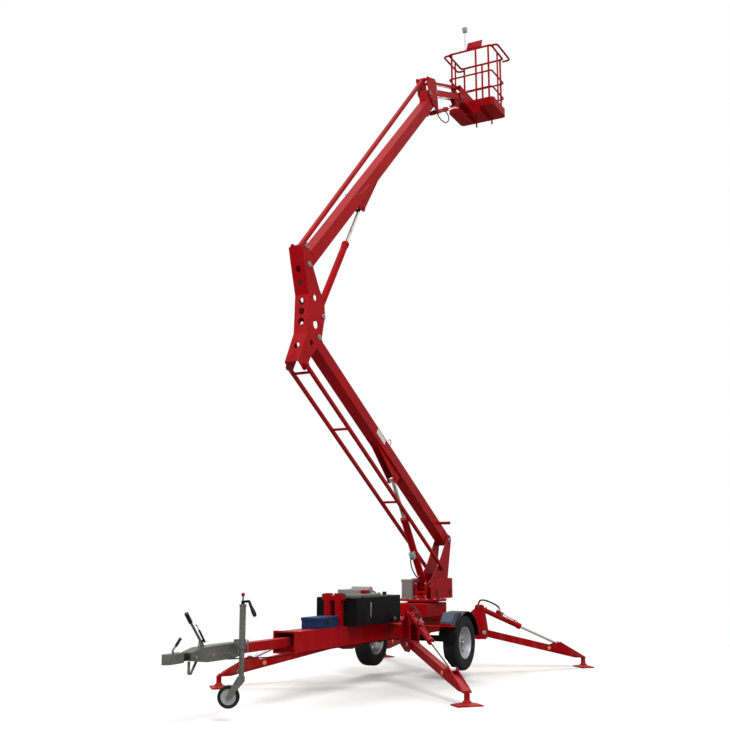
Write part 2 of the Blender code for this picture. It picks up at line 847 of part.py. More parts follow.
def build_jockey(root):
    half = DRAWBAR_SIZE / 2
    side = HOUSING_HALF
    seat_radius = JOCKEY_OUTER + SEAT
    collar = JOCKEY_OUTER + 0.009
    clamp_z = (JOCKEY_TUBE_BOTTOM + 0.005, JOCKEY_TUBE_BOTTOM + 0.085)
    screw = JOCKEY_Y + collar
    handle = screw + 0.025
    lip = JOCKEY_OUTER + 0.003

    def on_post(y, z):
        return (JOCKEY_X, y, z)

    solid(
        "jockey_clamp",
        root,
        "zinc",
        [
            bar(on_post(JOCKEY_Y, clamp_z[0]), on_post(JOCKEY_Y, clamp_z[1]), collar, TUBE_SIDES),
            block((JOCKEY_X - 0.035, JOCKEY_X + 0.035), (side + SEAT, JOCKEY_Y - 0.01), clamp_z),
            bar(on_post(screw - 0.01, clamp_z[0] + 0.04), on_post(screw + 0.03, clamp_z[0] + 0.04), 0.008, 8),
            bar(on_post(handle, clamp_z[0] - 0.03), on_post(handle, clamp_z[0] + 0.08), 0.007, 8),
        ],
        [bar(on_post(JOCKEY_Y, 0), on_post(JOCKEY_Y, 2), seat_radius, TUBE_SIDES)],
    )
    top = JOCKEY_TUBE_TOP
    solid(
        "jockey_outer_tube",
        root,
        "zinc",
        [
            bar(on_post(JOCKEY_Y, JOCKEY_TUBE_BOTTOM), on_post(JOCKEY_Y, top), JOCKEY_OUTER, TUBE_SIDES),
            bar(on_post(JOCKEY_Y, top - 0.01), on_post(JOCKEY_Y, top + 0.012), lip, TUBE_SIDES),
        ],
        [
            bar(
                (JOCKEY_X, JOCKEY_Y, JOCKEY_TUBE_BOTTOM - 0.1),
                (JOCKEY_X, JOCKEY_Y, top - 0.006),
                JOCKEY_INNER + PIN_PLAY,
                TUBE_SIDES,
            )
        ],
    )
    crank = math.radians(-62) + math.pi
    out = Vector((math.cos(crank), math.sin(crank), 0))
    hub = Vector((JOCKEY_X, JOCKEY_Y, top + 0.012 + SEAT))
    up = Vector((0, 0, 1))
    solid(
        "jockey_crank",
        root,
        "black",
        [
            bar(hub, hub + up * 0.03, 0.016, 10),
            bar(hub + up * 0.02, hub + up * 0.085, 0.007, 8),
            bar(hub + up * 0.07, hub + up * 0.10, 0.015, 10, 0.011),
            tube([hub + up * 0.022, hub + out * 0.055 + up * 0.026, hub + out * 0.115 - up * 0.11], 0.012),
        ],
    )
    leg = body("jockey_leg", (JOCKEY_X, JOCKEY_Y, JOCKEY_INNER_BOTTOM))
    solid(
        "jockey_leg",
        leg,
        "zinc",
        [
            bar((0, 0, 0), (0, 0, JOCKEY_INNER_TOP - JOCKEY_INNER_BOTTOM), JOCKEY_INNER, TUBE_SIDES),
        ],
        [bar((0, 0, -0.1), (0, 0, 0.06), hole(SPINDLE), PIN_SIDES)],
    )
    fork = body("jockey_fork", (JOCKEY_X, JOCKEY_Y, JOCKEY_INNER_BOTTOM), 0, JOCKEY_SWIVEL)
    drop = JOCKEY_WHEEL_Z - JOCKEY_INNER_BOTTOM
    inner = JOCKEY_WHEEL_WIDTH / 2 + SIDE_PLAY
    outer = inner + JOCKEY_FORK_PLATE
    outline = [
        (-0.028, -SEAT * 10),
        (-0.028, -0.045),
        *arc((JOCKEY_TRAIL, drop), 0.020, 215, 395, 4),
        (0.034, -SEAT * 10),
    ]
    solid(
        "jockey_fork",
        fork,
        "zinc",
        [
            plate(outline, (inner, outer)),
            plate(outline, (-outer, -inner)),
            block((-0.028, 0.034), (-outer + 0.001, outer - 0.001), (-0.011, -SEAT * 3)),
            bar((0, 0, -0.008), (0, 0, 0.055), SPINDLE, PIN_SIDES),
            pin(JOCKEY_TRAIL, drop, JOCKEY_AXLE, (-outer - 0.006, outer + 0.006)),
        ],
    )
    turn = Matrix.Rotation(JOCKEY_SWIVEL, 3, "Z")
    centre = Vector((JOCKEY_X, JOCKEY_Y, 0)) + turn @ Vector((JOCKEY_TRAIL, 0, 0))
    wheel = body("jockey_wheel", (centre.x, centre.y, JOCKEY_WHEEL_Z), 0, JOCKEY_SWIVEL)
    half_width = JOCKEY_WHEEL_WIDTH / 2
    r = JOCKEY_WHEEL_RADIUS
    wall = hole(JOCKEY_AXLE, JOCKEY_SIDES)
    profile = [
        (wall, -half_width * 0.9),
        (0.028, -half_width * 0.9),
        (0.030, -half_width * 0.4),
        (r * 0.70, -half_width * 0.4),
        (r * 0.74, -half_width * 0.85),
        (r * 0.90, -half_width),
        (r, -half_width * 0.6),
        (r, half_width * 0.6),
        (r * 0.90, half_width),
        (r * 0.74, half_width * 0.85),
        (r * 0.70, half_width * 0.4),
        (0.030, half_width * 0.4),
        (0.028, half_width * 0.9),
        (wall, half_width * 0.9),
    ]
    solid("jockey_wheel", wheel, "rubber", [turned(profile, JOCKEY_SIDES)])


def build_axle(root):
    front = AXLE_X + ARM_LEAD
    half = AXLE_TUBE / 2
    top = BEAM_BOTTOM - SEAT
    reach = WHEEL_Y - TYRE_HALF - 0.012
    adds = [block((front - half, front + half), (-reach, reach), (top - AXLE_TUBE, top))]
    for side in (1, -1):
        arm = sorted((side * (reach - 0.035), side * (reach - 0.001)))
        outline = [
            (front + half * 0.9, top - 0.004),
            (front - half * 0.9, top - 0.004),
            *arc((AXLE_X, AXLE_Z), 0.04, 100, 290, 6),
            (front + half * 0.9, top - AXLE_TUBE + 0.004),
        ]
        adds.append(plate(outline, arm))
        stub = sorted((side * (reach - 0.01), side * (WHEEL_Y + 0.03)))
        adds.append(pin(AXLE_X, AXLE_Z, STUB_RADIUS, stub))
    rod = [
        (front, 0, top - 0.025),
        (BEAM_FRONT + 0.14, 0, top - 0.025),
        (HOUSING_REAR + 0.12, 0, HOUSING_BOTTOM - BRAKE_ROD - SEAT),
    ]
    adds.append(tube(rod, BRAKE_ROD, 6))
    solid("axle_beam", root, "black", adds)


def build_wheels():
    lip = RIM_RADIUS
    tyre = [
        (lip + SEAT, -0.070),
        (lip + 0.022, -0.086),
        (0.26, -TYRE_HALF),
        (TYRE_RADIUS - 0.025, -0.086),
        (TYRE_RADIUS, -0.055),
        (TYRE_RADIUS, 0.055),
        (TYRE_RADIUS - 0.025, 0.086),
        (0.26, TYRE_HALF),
        (lip + 0.022, 0.086),
        (lip + SEAT, 0.070),
    ]
    barrel = lip - 0.006
    dish = 0.020
    wall = hole(STUB_RADIUS, WHEEL_SIDES)
    rim = [
        (wall, dish - 0.045),
        (HUB_RADIUS * 0.8, dish - 0.045),
        (barrel, dish - 0.022),
        (barrel, -0.078),
        (lip, -0.079),
        (lip, 0.079),
        (barrel - 0.012, dish + 0.012),
        (barrel - 0.034, dish - 0.008),
        (HUB_RADIUS + 0.008, dish),
        (HUB_RADIUS, dish + 0.014),
        (wall, dish + 0.014),
    ]
    for name, side in (("left", 1), ("right", -1)):
        wheel = body("wheel_" + name, (AXLE_X, side * WHEEL_Y, AXLE_Z))
        solid("tyre_" + name, wheel, "rubber", [turned([(r, side * y) for r, y in tyre], WHEEL_SIDES)])
        holes = []
        for index in range(WHEEL_HOLES):
            angle = 2 * math.pi * (index + 0.5) / WHEEL_HOLES
            holes.append(pin(0.118 * math.cos(angle), 0.118 * math.sin(angle), 0.021, (-0.09, 0.09), 6))
        solid("rim_" + name, wheel, "silver", [turned([(r, side * y) for r, y in rim], WHEEL_SIDES)], holes)


def build_mudguards(root):
    inner = TYRE_RADIUS + GUARD_GAP
    outer = inner + GUARD_THICK
    outline = arc((AXLE_X, AXLE_Z), outer, 5, 170, 9) + arc((AXLE_X, AXLE_Z), inner, 170, 5, 9)
    for name, side in (("left", 1), ("right", -1)):
        across = sorted((side * (WHEEL_Y - GUARD_HALF), side * (WHEEL_Y + GUARD_HALF)))
        stay_y = side * (WHEEL_Y - GUARD_HALF + 0.01)
        stay = sorted((side * (BEAM_HALF + SEAT), stay_y))
        shapes = [plate(outline, across)]
        for angle in (40, 140):
            spot = arc((AXLE_X, AXLE_Z), inner + 0.002, angle, angle, 1)[0]
            low = (spot[0], BEAM_TOP - 0.04)
            shapes.append(block((spot[0] - 0.02, spot[0] + 0.02), stay, (low[1] - 0.006, low[1])))
            upright = sorted((stay_y, stay_y - side * 0.006))
            shapes.append(block((spot[0] - 0.02, spot[0] + 0.02), upright, (low[1] - 0.005, spot[1])))
        solid("mudguard_" + name, root, "black", shapes)


def build_outriggers():
    for front in (1, -1):
        for left in (1, -1):
            build_outrigger(front, left)


def build_outrigger(front, left):
    name = ("F" if front > 0 else "R") + ("L" if left > 0 else "R")
    turn = leg_turn(front, left)
    place = (front * HINGE_X, left * HINGE_Y, HINGE_Z)
    leg = body("leg_" + name, place, 0, turn)
    half, deep = LEG_WIDTH / 2, LEG_DEPTH / 2
    slope = math.atan2(LEG_FALL, LEG_FOOT)
    run, rise = math.cos(slope), math.sin(slope)
    end = LEG_FOOT - 0.02
    tube_outline = [
        *arc((0, 0), deep, 90 - math.degrees(slope), 270 - math.degrees(slope), 4),
        (end - 0.10 - deep * rise, -(end - 0.10) * LEG_FALL / LEG_FOOT - deep * run),
        (end + 0.03, -LEG_FALL - 0.02),
        (end + 0.03, -LEG_FALL + 0.0),
        (end - 0.20 + deep * rise, -(end - 0.20) * LEG_FALL / LEG_FOOT + deep * run),
    ]
    eye = LEG_EYE
    cheek = [
        (eye[0] - 0.12, -(eye[0] - 0.12) * LEG_FALL / LEG_FOOT - deep * 0.5),
        (eye[0] - 0.13, -(eye[0] - 0.13) * LEG_FALL / LEG_FOOT + deep * 0.9),
        *arc(eye, 0.036, 120, 40, 3),
        (end - 0.02, -LEG_FALL + 0.025),
        (end + 0.035, -LEG_FALL - 0.012),
        (end + 0.035, -LEG_FALL - 0.024),
        (end - 0.16, -(end - 0.16) * LEG_FALL / LEG_FOOT - deep * 0.5),
    ]
    foot_z = -HINGE_Z
    ball = foot_z + PAD_RISE + BALL_RADIUS
    pad = bmesh.new()
    levels = (
        (PAD_ALONG / 2, PAD_ACROSS / 2, foot_z),
        (PAD_ALONG / 2, PAD_ACROSS / 2, foot_z + PAD_EDGE),
        (0.045, 0.045, foot_z + PAD_RISE),
    )
    rings = []
    for wide, across, height in levels:
        corners = [(wide, across), (-wide, across), (-wide, -across), (wide, -across)]
        rings.append([pad.verts.new((LEG_FOOT + x, y, height)) for x, y in corners])
    for lower, upper in zip(rings, rings[1:]):
        for step in range(4):
            nxt = (step + 1) % 4
            pad.faces.new((lower[step], lower[nxt], upper[nxt], upper[step]))
    pad.faces.new(list(reversed(rings[0])))
    pad.faces.new(rings[-1])
    bmesh.ops.recalc_face_normals(pad, faces=pad.faces)
    adds = [
        plate(tube_outline, (-half, half)),
        plate(cheek, (half - EMBED, half + LEG_CHEEK)),
        plate(cheek, (-half - LEG_CHEEK, -half + EMBED)),
        bar((LEG_FOOT, 0, foot_z + PAD_RISE - 0.005), (LEG_FOOT, 0, -LEG_FALL - 0.012), BALL_RADIUS, 10),
        pad,
        pin(eye[0], eye[1], PIN_RADIUS, (half + LEG_CHEEK - 0.002, half + LEG_CHEEK + 0.010)),
        pin(eye[0], eye[1], PIN_RADIUS, (-half - LEG_CHEEK - 0.010, -half - LEG_CHEEK + 0.002)),
    ]
    cuts = [bore(0, 0, PIN_RADIUS, HALF_STEP), slot(eye, LEG_SLOT, half - EMBED)]
    solid("outrigger_leg_" + name, leg, "red", adds, cuts)
    base = Vector(place) + Matrix.Rotation(turn, 3, "Z") @ Vector((LEG_BASE[0], 0, LEG_BASE[1]))
    run, rise = eye[0] - LEG_BASE[0], eye[1] - LEG_BASE[1]
    ram(
        "leg_ram_" + name,
        base,
        math.hypot(run, rise),
        turn,
        math.atan2(rise, run),
        (LEG_BARREL, LEG_BARREL_RADIUS, LEG_ROD_RADIUS, 0.034, 0.10),
        half - EMBED,
        [
            block(
                LEG_VALVE_ALONG,
                (-LEG_VALVE_HALF, LEG_VALVE_HALF),
                (LEG_BARREL_RADIUS / 2, LEG_VALVE_TOP),
            )
        ],
    )


def build_deck(root):
    """What stands on the beam: tank, engine block, battery box, boom rest and turntable block."""
    tank = block(TANK_X, (-TANK_HALF, TANK_HALF), (BEAM_TOP + SEAT, TANK_TOP), 0.012)
    cap_x = TANK_X[0] + 0.12
    solid(
        "hydraulic_tank",
        root,
        "black",
        [tank, bar((cap_x, 0.1, TANK_TOP - 0.005), (cap_x, 0.1, TANK_TOP + 0.035), 0.022, 12)],
    )
    solid(
        "engine_block",
        root,
        "grey",
        [
            block(ENGINE_X, (-ENGINE_HALF, ENGINE_HALF), (TANK_TOP + SEAT, ENGINE_TOP), 0.01),
            pin(ENGINE_X[0] + 0.14, ENGINE_TOP - 0.02, 0.05, (-0.12, 0.12), 12),
        ],
    )
    solid(
        "battery_box",
        root,
        "blue",
        [block(BATTERY_X, (-BATTERY_HALF, BATTERY_HALF), (BEAM_TOP + SEAT, BATTERY_TOP), 0.006)],
    )
    post = (POST_X - POST_HALF, POST_X + POST_HALF)
    solid(
        "boom_rest",
        root,
        "red",
        [
            block(post, (0.03, 0.10), (BEAM_TOP + SEAT, POST_TOP)),
            block(post, (-0.10, -0.03), (BEAM_TOP + SEAT, POST_TOP)),
            block((post[0] + 0.004, post[1] - 0.004), (-0.13, 0.13), (POST_TOP - 0.07, POST_TOP - 0.02)),
        ],
    )
    rear = SLEW_X - BLOCK_LENGTH / 2 + 0.05
    solid(
        "turntable_block",
        root,
        "red",
        [
            block(
                (rear, rear + BLOCK_LENGTH),
                (-BLOCK_HALF, BLOCK_HALF),
                (BEAM_TOP + SEAT, BLOCK_TOP),
                0.006,
            ),
            bar((SLEW_X, 0, BLOCK_TOP - 0.01), (SLEW_X, 0, RING_TOP), RING_RADIUS, 16),
        ],
    )


def build_turntable():
    slew = body("turntable", (SLEW_X, 0, 0))

    def local(point):
        return (point[0] - SLEW_X, point[1])

    low, level, lift = local(LOWER_PIN), local(plus(LOWER_PIN, LEVEL_OFFSET)), local(LIFT_BASE)
    inner, outer = PEDESTAL_INNER, PEDESTAL_INNER + PEDESTAL_PLATE
    foot = TABLE_TOP - EMBED
    outline = [
        (PEDESTAL_BACK, foot),
        (PEDESTAL_FRONT, foot),
        (PEDESTAL_FRONT, PEDESTAL_SHOULDER),
        (lift[0] + 0.05, lift[1] + 0.05),
        (lift[0] - 0.03, lift[1] + 0.09),
        (level[0] + 0.07, level[1] + 0.03),
        *arc(low, 0.072, 20, 170, 5),
    ]
    tip = outer + 0.012
    front_plate = [
        (-outer, foot),
        (outer, foot),
        (outer, FRONT_PLATE_TOP - 0.005),
        (NOTCH_HALF, FRONT_PLATE_TOP),
        (NOTCH_HALF, NOTCH_BOTTOM),
        (-NOTCH_HALF, NOTCH_BOTTOM),
        (-NOTCH_HALF, FRONT_PLATE_TOP),
        (-outer, FRONT_PLATE_TOP - 0.005),
    ]
    adds = [
        bar((0, 0, RING_TOP + SEAT), (0, 0, TABLE_TOP), TABLE_RADIUS, 20),
        plate(outline, (inner, outer)),
        plate(outline, (-outer, -inner)),
        extruded([(PEDESTAL_FRONT - EMBED, y, z) for y, z in front_plate], (0.008 + EMBED, 0, 0)),
        pin(low[0], low[1], PIN_RADIUS, (-tip, tip)),
        pin(lift[0], lift[1], RAM_PIN, (-tip, tip)),
        block(NECK_X, (-outer + 0.001, outer - 0.001), (foot, NECK_TOP)),
    ]
    level_end = LEVEL_INNER + LEVEL_TUBE + 0.004
    for side in (1, -1):
        adds.append(pin(level[0], level[1], PIN_RADIUS, sorted((side * (inner + 0.002), side * level_end))))
    slot = [block((0, 0.1), (-0.03, 0.03), (0.975, 1.0))]
    solid("turntable_pedestal", slew, "red", adds, slot)
    cover(slew)
    x = [value - SLEW_X for value in CONTROL_X]
    solid(
        "control_box",
        slew,
        "grey",
        [block(x, CONTROL_Y, (TABLE_TOP + SEAT, CONTROL_TOP), 0.006)],
    )


def cover(slew):
    """The sheet cover round the back of the pedestal, shorter on the right, beside the control box."""
    front, back = COVER_FRONT - SLEW_X, COVER_BACK - SLEW_X
    right_front = CONTROL_X[0] - SLEW_X - 0.01
    outside = arc((back, 0), COVER_HALF, 90, 270, 8)
    inside = arc((back, 0), COVER_HALF - COVER_WALL, 270, 90, 8)
    outline = [(front, COVER_HALF), *outside, (right_front, -COVER_HALF)]
    outline += [(right_front, -COVER_HALF + COVER_WALL), *inside, (front, COVER_HALF - COVER_WALL)]
    solid("turntable_cover", slew, "red", [slab(outline, (TABLE_TOP + SEAT, COVER_TOP))])


def gusset(eye, start, end, base, radius):
    """Outline of a boom's cylinder lug: a long taper from the boom to a round nose about the eye."""
    return [(start, base), *arc(eye, radius, 200, 320, 4), (end, base)]


def slot(eye, run, half):
    """The slot in an arm that takes the rod's eye when the arm is far from its parked angle.

    run: points as distance along the arm and height, both from the eye. half: half width of the slot.
    """
    wide = half + SLOT_PLAY
    return plate([(eye[0] + along, eye[1] + above) for along, above in run], (-wide, wide))


def build_lower_boom():
    elevation, length = heading_of(LOWER_PIN, LOWER_HEAD)
    boom = body("lower_boom", (LOWER_PIN[0], 0, LOWER_PIN[1]), elevation)
    half = LOWER_HEIGHT / 2
    outline = [
        *arc((0, 0), half, 90, 270, 5),
        (length - 0.05, -LOWER_DROP - half),
        *arc((length, 0), half - 0.01, -60, 90, 4),
        (length - 0.12, half - LOWER_DROP),
    ]
    eye = along_line(LOWER_PIN, LOWER_HEAD, LIFT_EYE)
    base = -half + 0.012 - LOWER_DROP * 0.4
    lug = gusset(eye, eye[0] - LIFT_LUG_BACK, eye[0] + LUG_RUN, base, LIFT_LUG_RADIUS)
    adds = [plate(outline, (-BOOM_HALF, BOOM_HALF))]
    for side in (1, -1):
        adds.append(plate(lug, sorted((side * LIFT_GAP, side * (LIFT_GAP + LUG_PLATE)))))
        stub = sorted((side * (LIFT_GAP + 0.010), side * (LIFT_GAP + 0.022)))
        adds.append(pin(eye[0], eye[1], PIN_RADIUS, stub))
    peg_z = half - 0.022
    peg_y = (BOOM_HALF - 0.01, BOOM_HALF + PEG_REACH)
    adds.append(pin(PEG_STATION, peg_z, PEG_SIZE, peg_y, 10))
    cuts = [bore(0, 0, PIN_RADIUS), bore(length, 0, PIN_RADIUS), slot(eye, LIFT_SLOT, LIFT_GAP)]
    solid("lower_boom", boom, "red", adds, cuts)

    foot = plus(LOWER_PIN, LEVEL_OFFSET)
    frame = body("level_frame", (foot[0], 0, foot[1]), elevation)
    outer = LEVEL_INNER + LEVEL_TUBE
    thick = LEVEL_TUBE / 2
    adds = []
    for side in (1, -1):
        across = sorted((side * LEVEL_INNER, side * outer))
        adds.append(block((0, length), across, (-thick, thick)))
        for end in (0, length):
            adds.append(pin(end, 0, 0.034, sorted((side * (LEVEL_INNER + 0.0008), side * (outer - 0.0008)))))
    for station in RUNGS:
        adds.append(pin(station, 0, RUNG_RADIUS, (-LEVEL_INNER - 0.01, LEVEL_INNER + 0.01), 8))
    solid("level_frame", frame, "red", adds, [bore(0, 0, PIN_RADIUS), bore(length, 0, PIN_RADIUS)])

    lift_elevation, lift_length = heading_of(LIFT_BASE, LIFT_EYE)
    valve_x = sum(VALVE_ALONG) / 2
    wall = LIFT_BARREL_RADIUS / 2
    barrel = ram(
        "lift_ram",
        (LIFT_BASE[0], 0, LIFT_BASE[1]),
        lift_length,
        0,
        lift_elevation,
        (LIFT_BARREL, LIFT_BARREL_RADIUS, LIFT_ROD_RADIUS, 0.05, 0.45),
        LIFT_GAP,
        [
            block(VALVE_ALONG, (-VALVE_HALF, VALVE_HALF), (-VALVE_DEEP, -wall)),
            bar((LIFT_PORT, 0, -wall), (LIFT_PORT, 0, -LIFT_PORT_END), PORT_RADIUS, 8),
        ],
    )
    start = (valve_x, 0, -VALVE_DEEP - SEAT)
    end = [(LIFT_PORT, 0, -LIFT_PORT_END - 0.02), (LIFT_PORT, 0, -LIFT_PORT_END - SEAT)]
    hose("lift_hose", barrel, [start, *LIFT_ROUTE, *end])


def build_elbow():
    elbow = body("elbow", (LOWER_HEAD[0], 0, LOWER_HEAD[1]))
    upper, base = ELBOW_TO_UPPER, ELBOW_TO_CYLINDER
    rod = plus(upper, ROD_OFFSET)
    level = LEVEL_OFFSET
    side_outline = [
        *ELBOW_FRONT,
        *arc(rod, 0.05, 0, 150, 3),
        (upper[0] - 0.07, upper[1] + 0.02),
        *ELBOW_BACK,
        *arc(base, 0.055, 150, 230, 3),
        *ELBOW_HEEL,
        *arc(level, 0.05, 190, 330, 4),
    ]
    inner, outer = ELBOW_INNER, ELBOW_INNER + ELBOW_PLATE
    tip = outer + 0.012
    skin = [*ELBOW_FRONT, *[(x - ELBOW_PLATE, z) for x, z in reversed(ELBOW_FRONT)]]
    adds = [plate(side_outline, (inner, outer)), plate(side_outline, (-outer, -inner))]
    adds.append(plate(skin, (-inner - 0.002, inner + 0.002)))
    for spot, radius in (((0, 0), PIN_RADIUS), (upper, PIN_RADIUS), (rod, PIN_RADIUS), (base, RAM_PIN)):
        adds.append(pin(spot[0], spot[1], radius, (-tip, tip)))
    level_end = LEVEL_INNER + LEVEL_TUBE + 0.004
    for side in (1, -1):
        adds.append(pin(level[0], level[1], PIN_RADIUS, sorted((side * (inner + 0.002), side * level_end))))
    cuts = [pin(x, z, radius, (-1, 1), sides) for x, z, radius, sides in ELBOW_SIDE_HOLES]
    for height, radius in ELBOW_FRONT_HOLES:
        cuts.append(bar((ELBOW_REACH[0], 0, height), (ELBOW_REACH[1], 0, height), radius, 8))
    solid("elbow_frame", elbow, "red", adds, cuts)


def build_upper_boom():
    foot = plus(LOWER_HEAD, ELBOW_TO_UPPER)
    elevation, length = heading_of(foot, UPPER_TIP)
    boom = body("upper_boom", (foot[0], 0, foot[1]), elevation, math.pi)
    half = UPPER_HEIGHT / 2
    end_drop = UPPER_DROP
    outline = [
        *arc((0, 0), half, 90, 270, 5),
        (length + 0.02, -end_drop - half),
        (length + 0.10, -end_drop + half * 0.2),
        *arc((length, 0), 0.05, -20, 120, 4),
        (length - 0.10, half - end_drop),
    ]
    eye = along_line(foot, UPPER_TIP, UPPER_EYE)
    base = -half + 0.012 - end_drop * eye[0] / length
    lug = gusset(eye, eye[0] - UPPER_LUG_BACK, eye[0] + LUG_RUN, base - 0.02, UPPER_LUG_RADIUS)
    adds = [plate(outline, (-BOOM_HALF, BOOM_HALF))]
    for side in (1, -1):
        adds.append(plate(lug, sorted((side * UPPER_GAP, side * (UPPER_GAP + LUG_PLATE)))))
        stub = sorted((side * (UPPER_GAP + 0.010), side * (UPPER_GAP + 0.022)))
        adds.append(pin(eye[0], eye[1], PIN_RADIUS, stub))
    ends = [(0, 0, PIN_RADIUS, HALF_STEP), (length, 0, PIN_RADIUS, HALF_STEP)]
    solid("upper_boom", boom, "red", adds, [*[bore(*end) for end in ends], slot(eye, UPPER_SLOT, UPPER_GAP)])

    rod_foot = plus(foot, ROD_OFFSET)
    rod = body("level_rod", (rod_foot[0], 0, rod_foot[1]), elevation, math.pi)
    thick = ROD_TUBE / 2
    solid(
        "level_rod",
        rod,
        "red",
        [
            block((0, length), (-thick, thick), (-thick, thick)),
            pin(0, 0, 0.032, (-thick - 0.02, thick + 0.02)),
            pin(length, 0, 0.032, (-thick - 0.02, thick + 0.02)),
        ],
        [bore(*end) for end in ends],
    )
    cylinder_foot = plus(LOWER_HEAD, ELBOW_TO_CYLINDER)
    ram_elevation, ram_length = heading_of(cylinder_foot, UPPER_EYE)
    ram(
        "upper_ram",
        (cylinder_foot[0], 0, cylinder_foot[1]),
        ram_length,
        math.pi,
        ram_elevation,
        (UPPER_BARREL, UPPER_BARREL_RADIUS, UPPER_ROD_RADIUS, 0.05, 0.30),
        UPPER_GAP,
        [],
    )


def build_jib():
    tip = body("tip_head", (UPPER_TIP[0], 0, UPPER_TIP[1]), 0, math.pi)

    def local(offset):
        return (-offset[0], offset[1])

    jib, base = local(TIP_TO_JIB), local(TIP_TO_JIB_BASE)
    rod, link = local(ROD_OFFSET), local(plus(TIP_TO_JIB, LINK_OFFSET))
    inner, outer = BOOM_HALF + SIDE_PLAY, BOOM_HALF + SIDE_PLAY + HEAD_PLATE
    outline = [
        *arc((0, 0), 0.045, 180, 260, 2),
        *arc(base, 0.04, 220, 350, 3),
        *arc(jib, 0.045, -30, 40, 2),
        *arc(link, 0.04, 10, 100, 2),
        *arc(rod, 0.04, 80, 190, 3),
    ]
    end = outer + 0.012
    adds = [plate(outline, (inner, outer)), plate(outline, (-outer, -inner))]
    for spot in ((0, 0), rod):
        adds.append(pin(spot[0], spot[1], PIN_RADIUS, (-end, end)))
    for spot in (jib, base, link):
        adds.append(pin(spot[0], spot[1], RAM_PIN, (-end, end)))
    adds.append(pin(TIP_PORT[0], TIP_PORT[1], PORT_RADIUS, (-TIP_PORT_END, -outer + 0.002)))
    solid("tip_head", tip, "red", adds)

    start = plus(UPPER_TIP, TIP_TO_JIB)
    finish = plus(start, JIB_RUN)
    elevation, length = heading_of(start, finish)
    arm = body("jib_arm", (start[0], 0, start[1]), elevation, math.pi)
    half = JIB_HEIGHT / 2
    ends = [(0, 0, RAM_PIN), (length, 0, RAM_PIN)]
    eye = (JIB_EYE_ALONG, -JIB_EYE_BELOW)
    outline = [*arc((0, 0), half, 90, 270, 5), *arc((length, 0), half, -90, 90, 5)]
    adds = [plate(outline, (-JIB_HALF, JIB_HALF))]
    for side in (1, -1):
        lug = gusset(eye, eye[0] + JIB_LUG[0], eye[0] + JIB_LUG[1], -half + 0.01, JIB_LUG_RADIUS)
        adds.append(plate(lug, sorted((side * JIB_GAP, side * (JIB_GAP + 0.010)))))
        stub = sorted((side * (JIB_GAP + 0.008), side * (JIB_GAP + 0.018)))
        adds.append(pin(eye[0], eye[1], PIN_RADIUS * 0.8, stub))
    solid("jib_arm", arm, "red", adds, [*[bore(*end) for end in ends], slot(eye, JIB_SLOT, JIB_GAP)])
    link_start = plus(start, LINK_OFFSET)
    link_body = body("jib_link", (link_start[0], 0, link_start[1]), elevation, math.pi)
    thin = LINK_HEIGHT / 2
    solid(
        "jib_link",
        link_body,
        "red",
        [
            block((0, length), (-0.03, 0.03), (-thin, thin)),
            pin(0, 0, 0.028, (-0.05, 0.05)),
            pin(length, 0, 0.028, (-0.05, 0.05)),
        ],
        [bore(*end) for end in ends],
    )
    ram_base = plus(UPPER_TIP, TIP_TO_JIB_BASE)
    run, rise = math.cos(elevation), math.sin(elevation)
    ram_eye = (start[0] - eye[0] * run + eye[1] * rise * 1.0, start[1] + eye[0] * rise + eye[1] * run)
    ram_elevation, ram_length = heading_of(ram_base, ram_eye)
    ram(
        "jib_ram",
        (ram_base[0], 0, ram_base[1]),
        ram_length,
        math.pi,
        ram_elevation,
        (JIB_BARREL, JIB_BARREL_RADIUS, JIB_ROD_RADIUS, 0.04, 0.25),
        JIB_GAP,
        [bar((JIB_PORT, -JIB_BARREL_RADIUS / 2, 0), (JIB_PORT, -JIB_PORT_END, 0), PORT_RADIUS, 8)],
    )
    along, up = JIB_PORT * math.cos(ram_elevation), JIB_PORT * math.sin(ram_elevation)
    port = (base[0] + along, base[1] + up)
    end = [(port[0], -JIB_PORT_END - reach, port[1]) for reach in (0.02, SEAT)]
    hose("tip_hose", tip, [(TIP_PORT[0], -TIP_PORT_END - SEAT, TIP_PORT[1]), *TIP_ROUTE, *end])
    build_platform(finish)


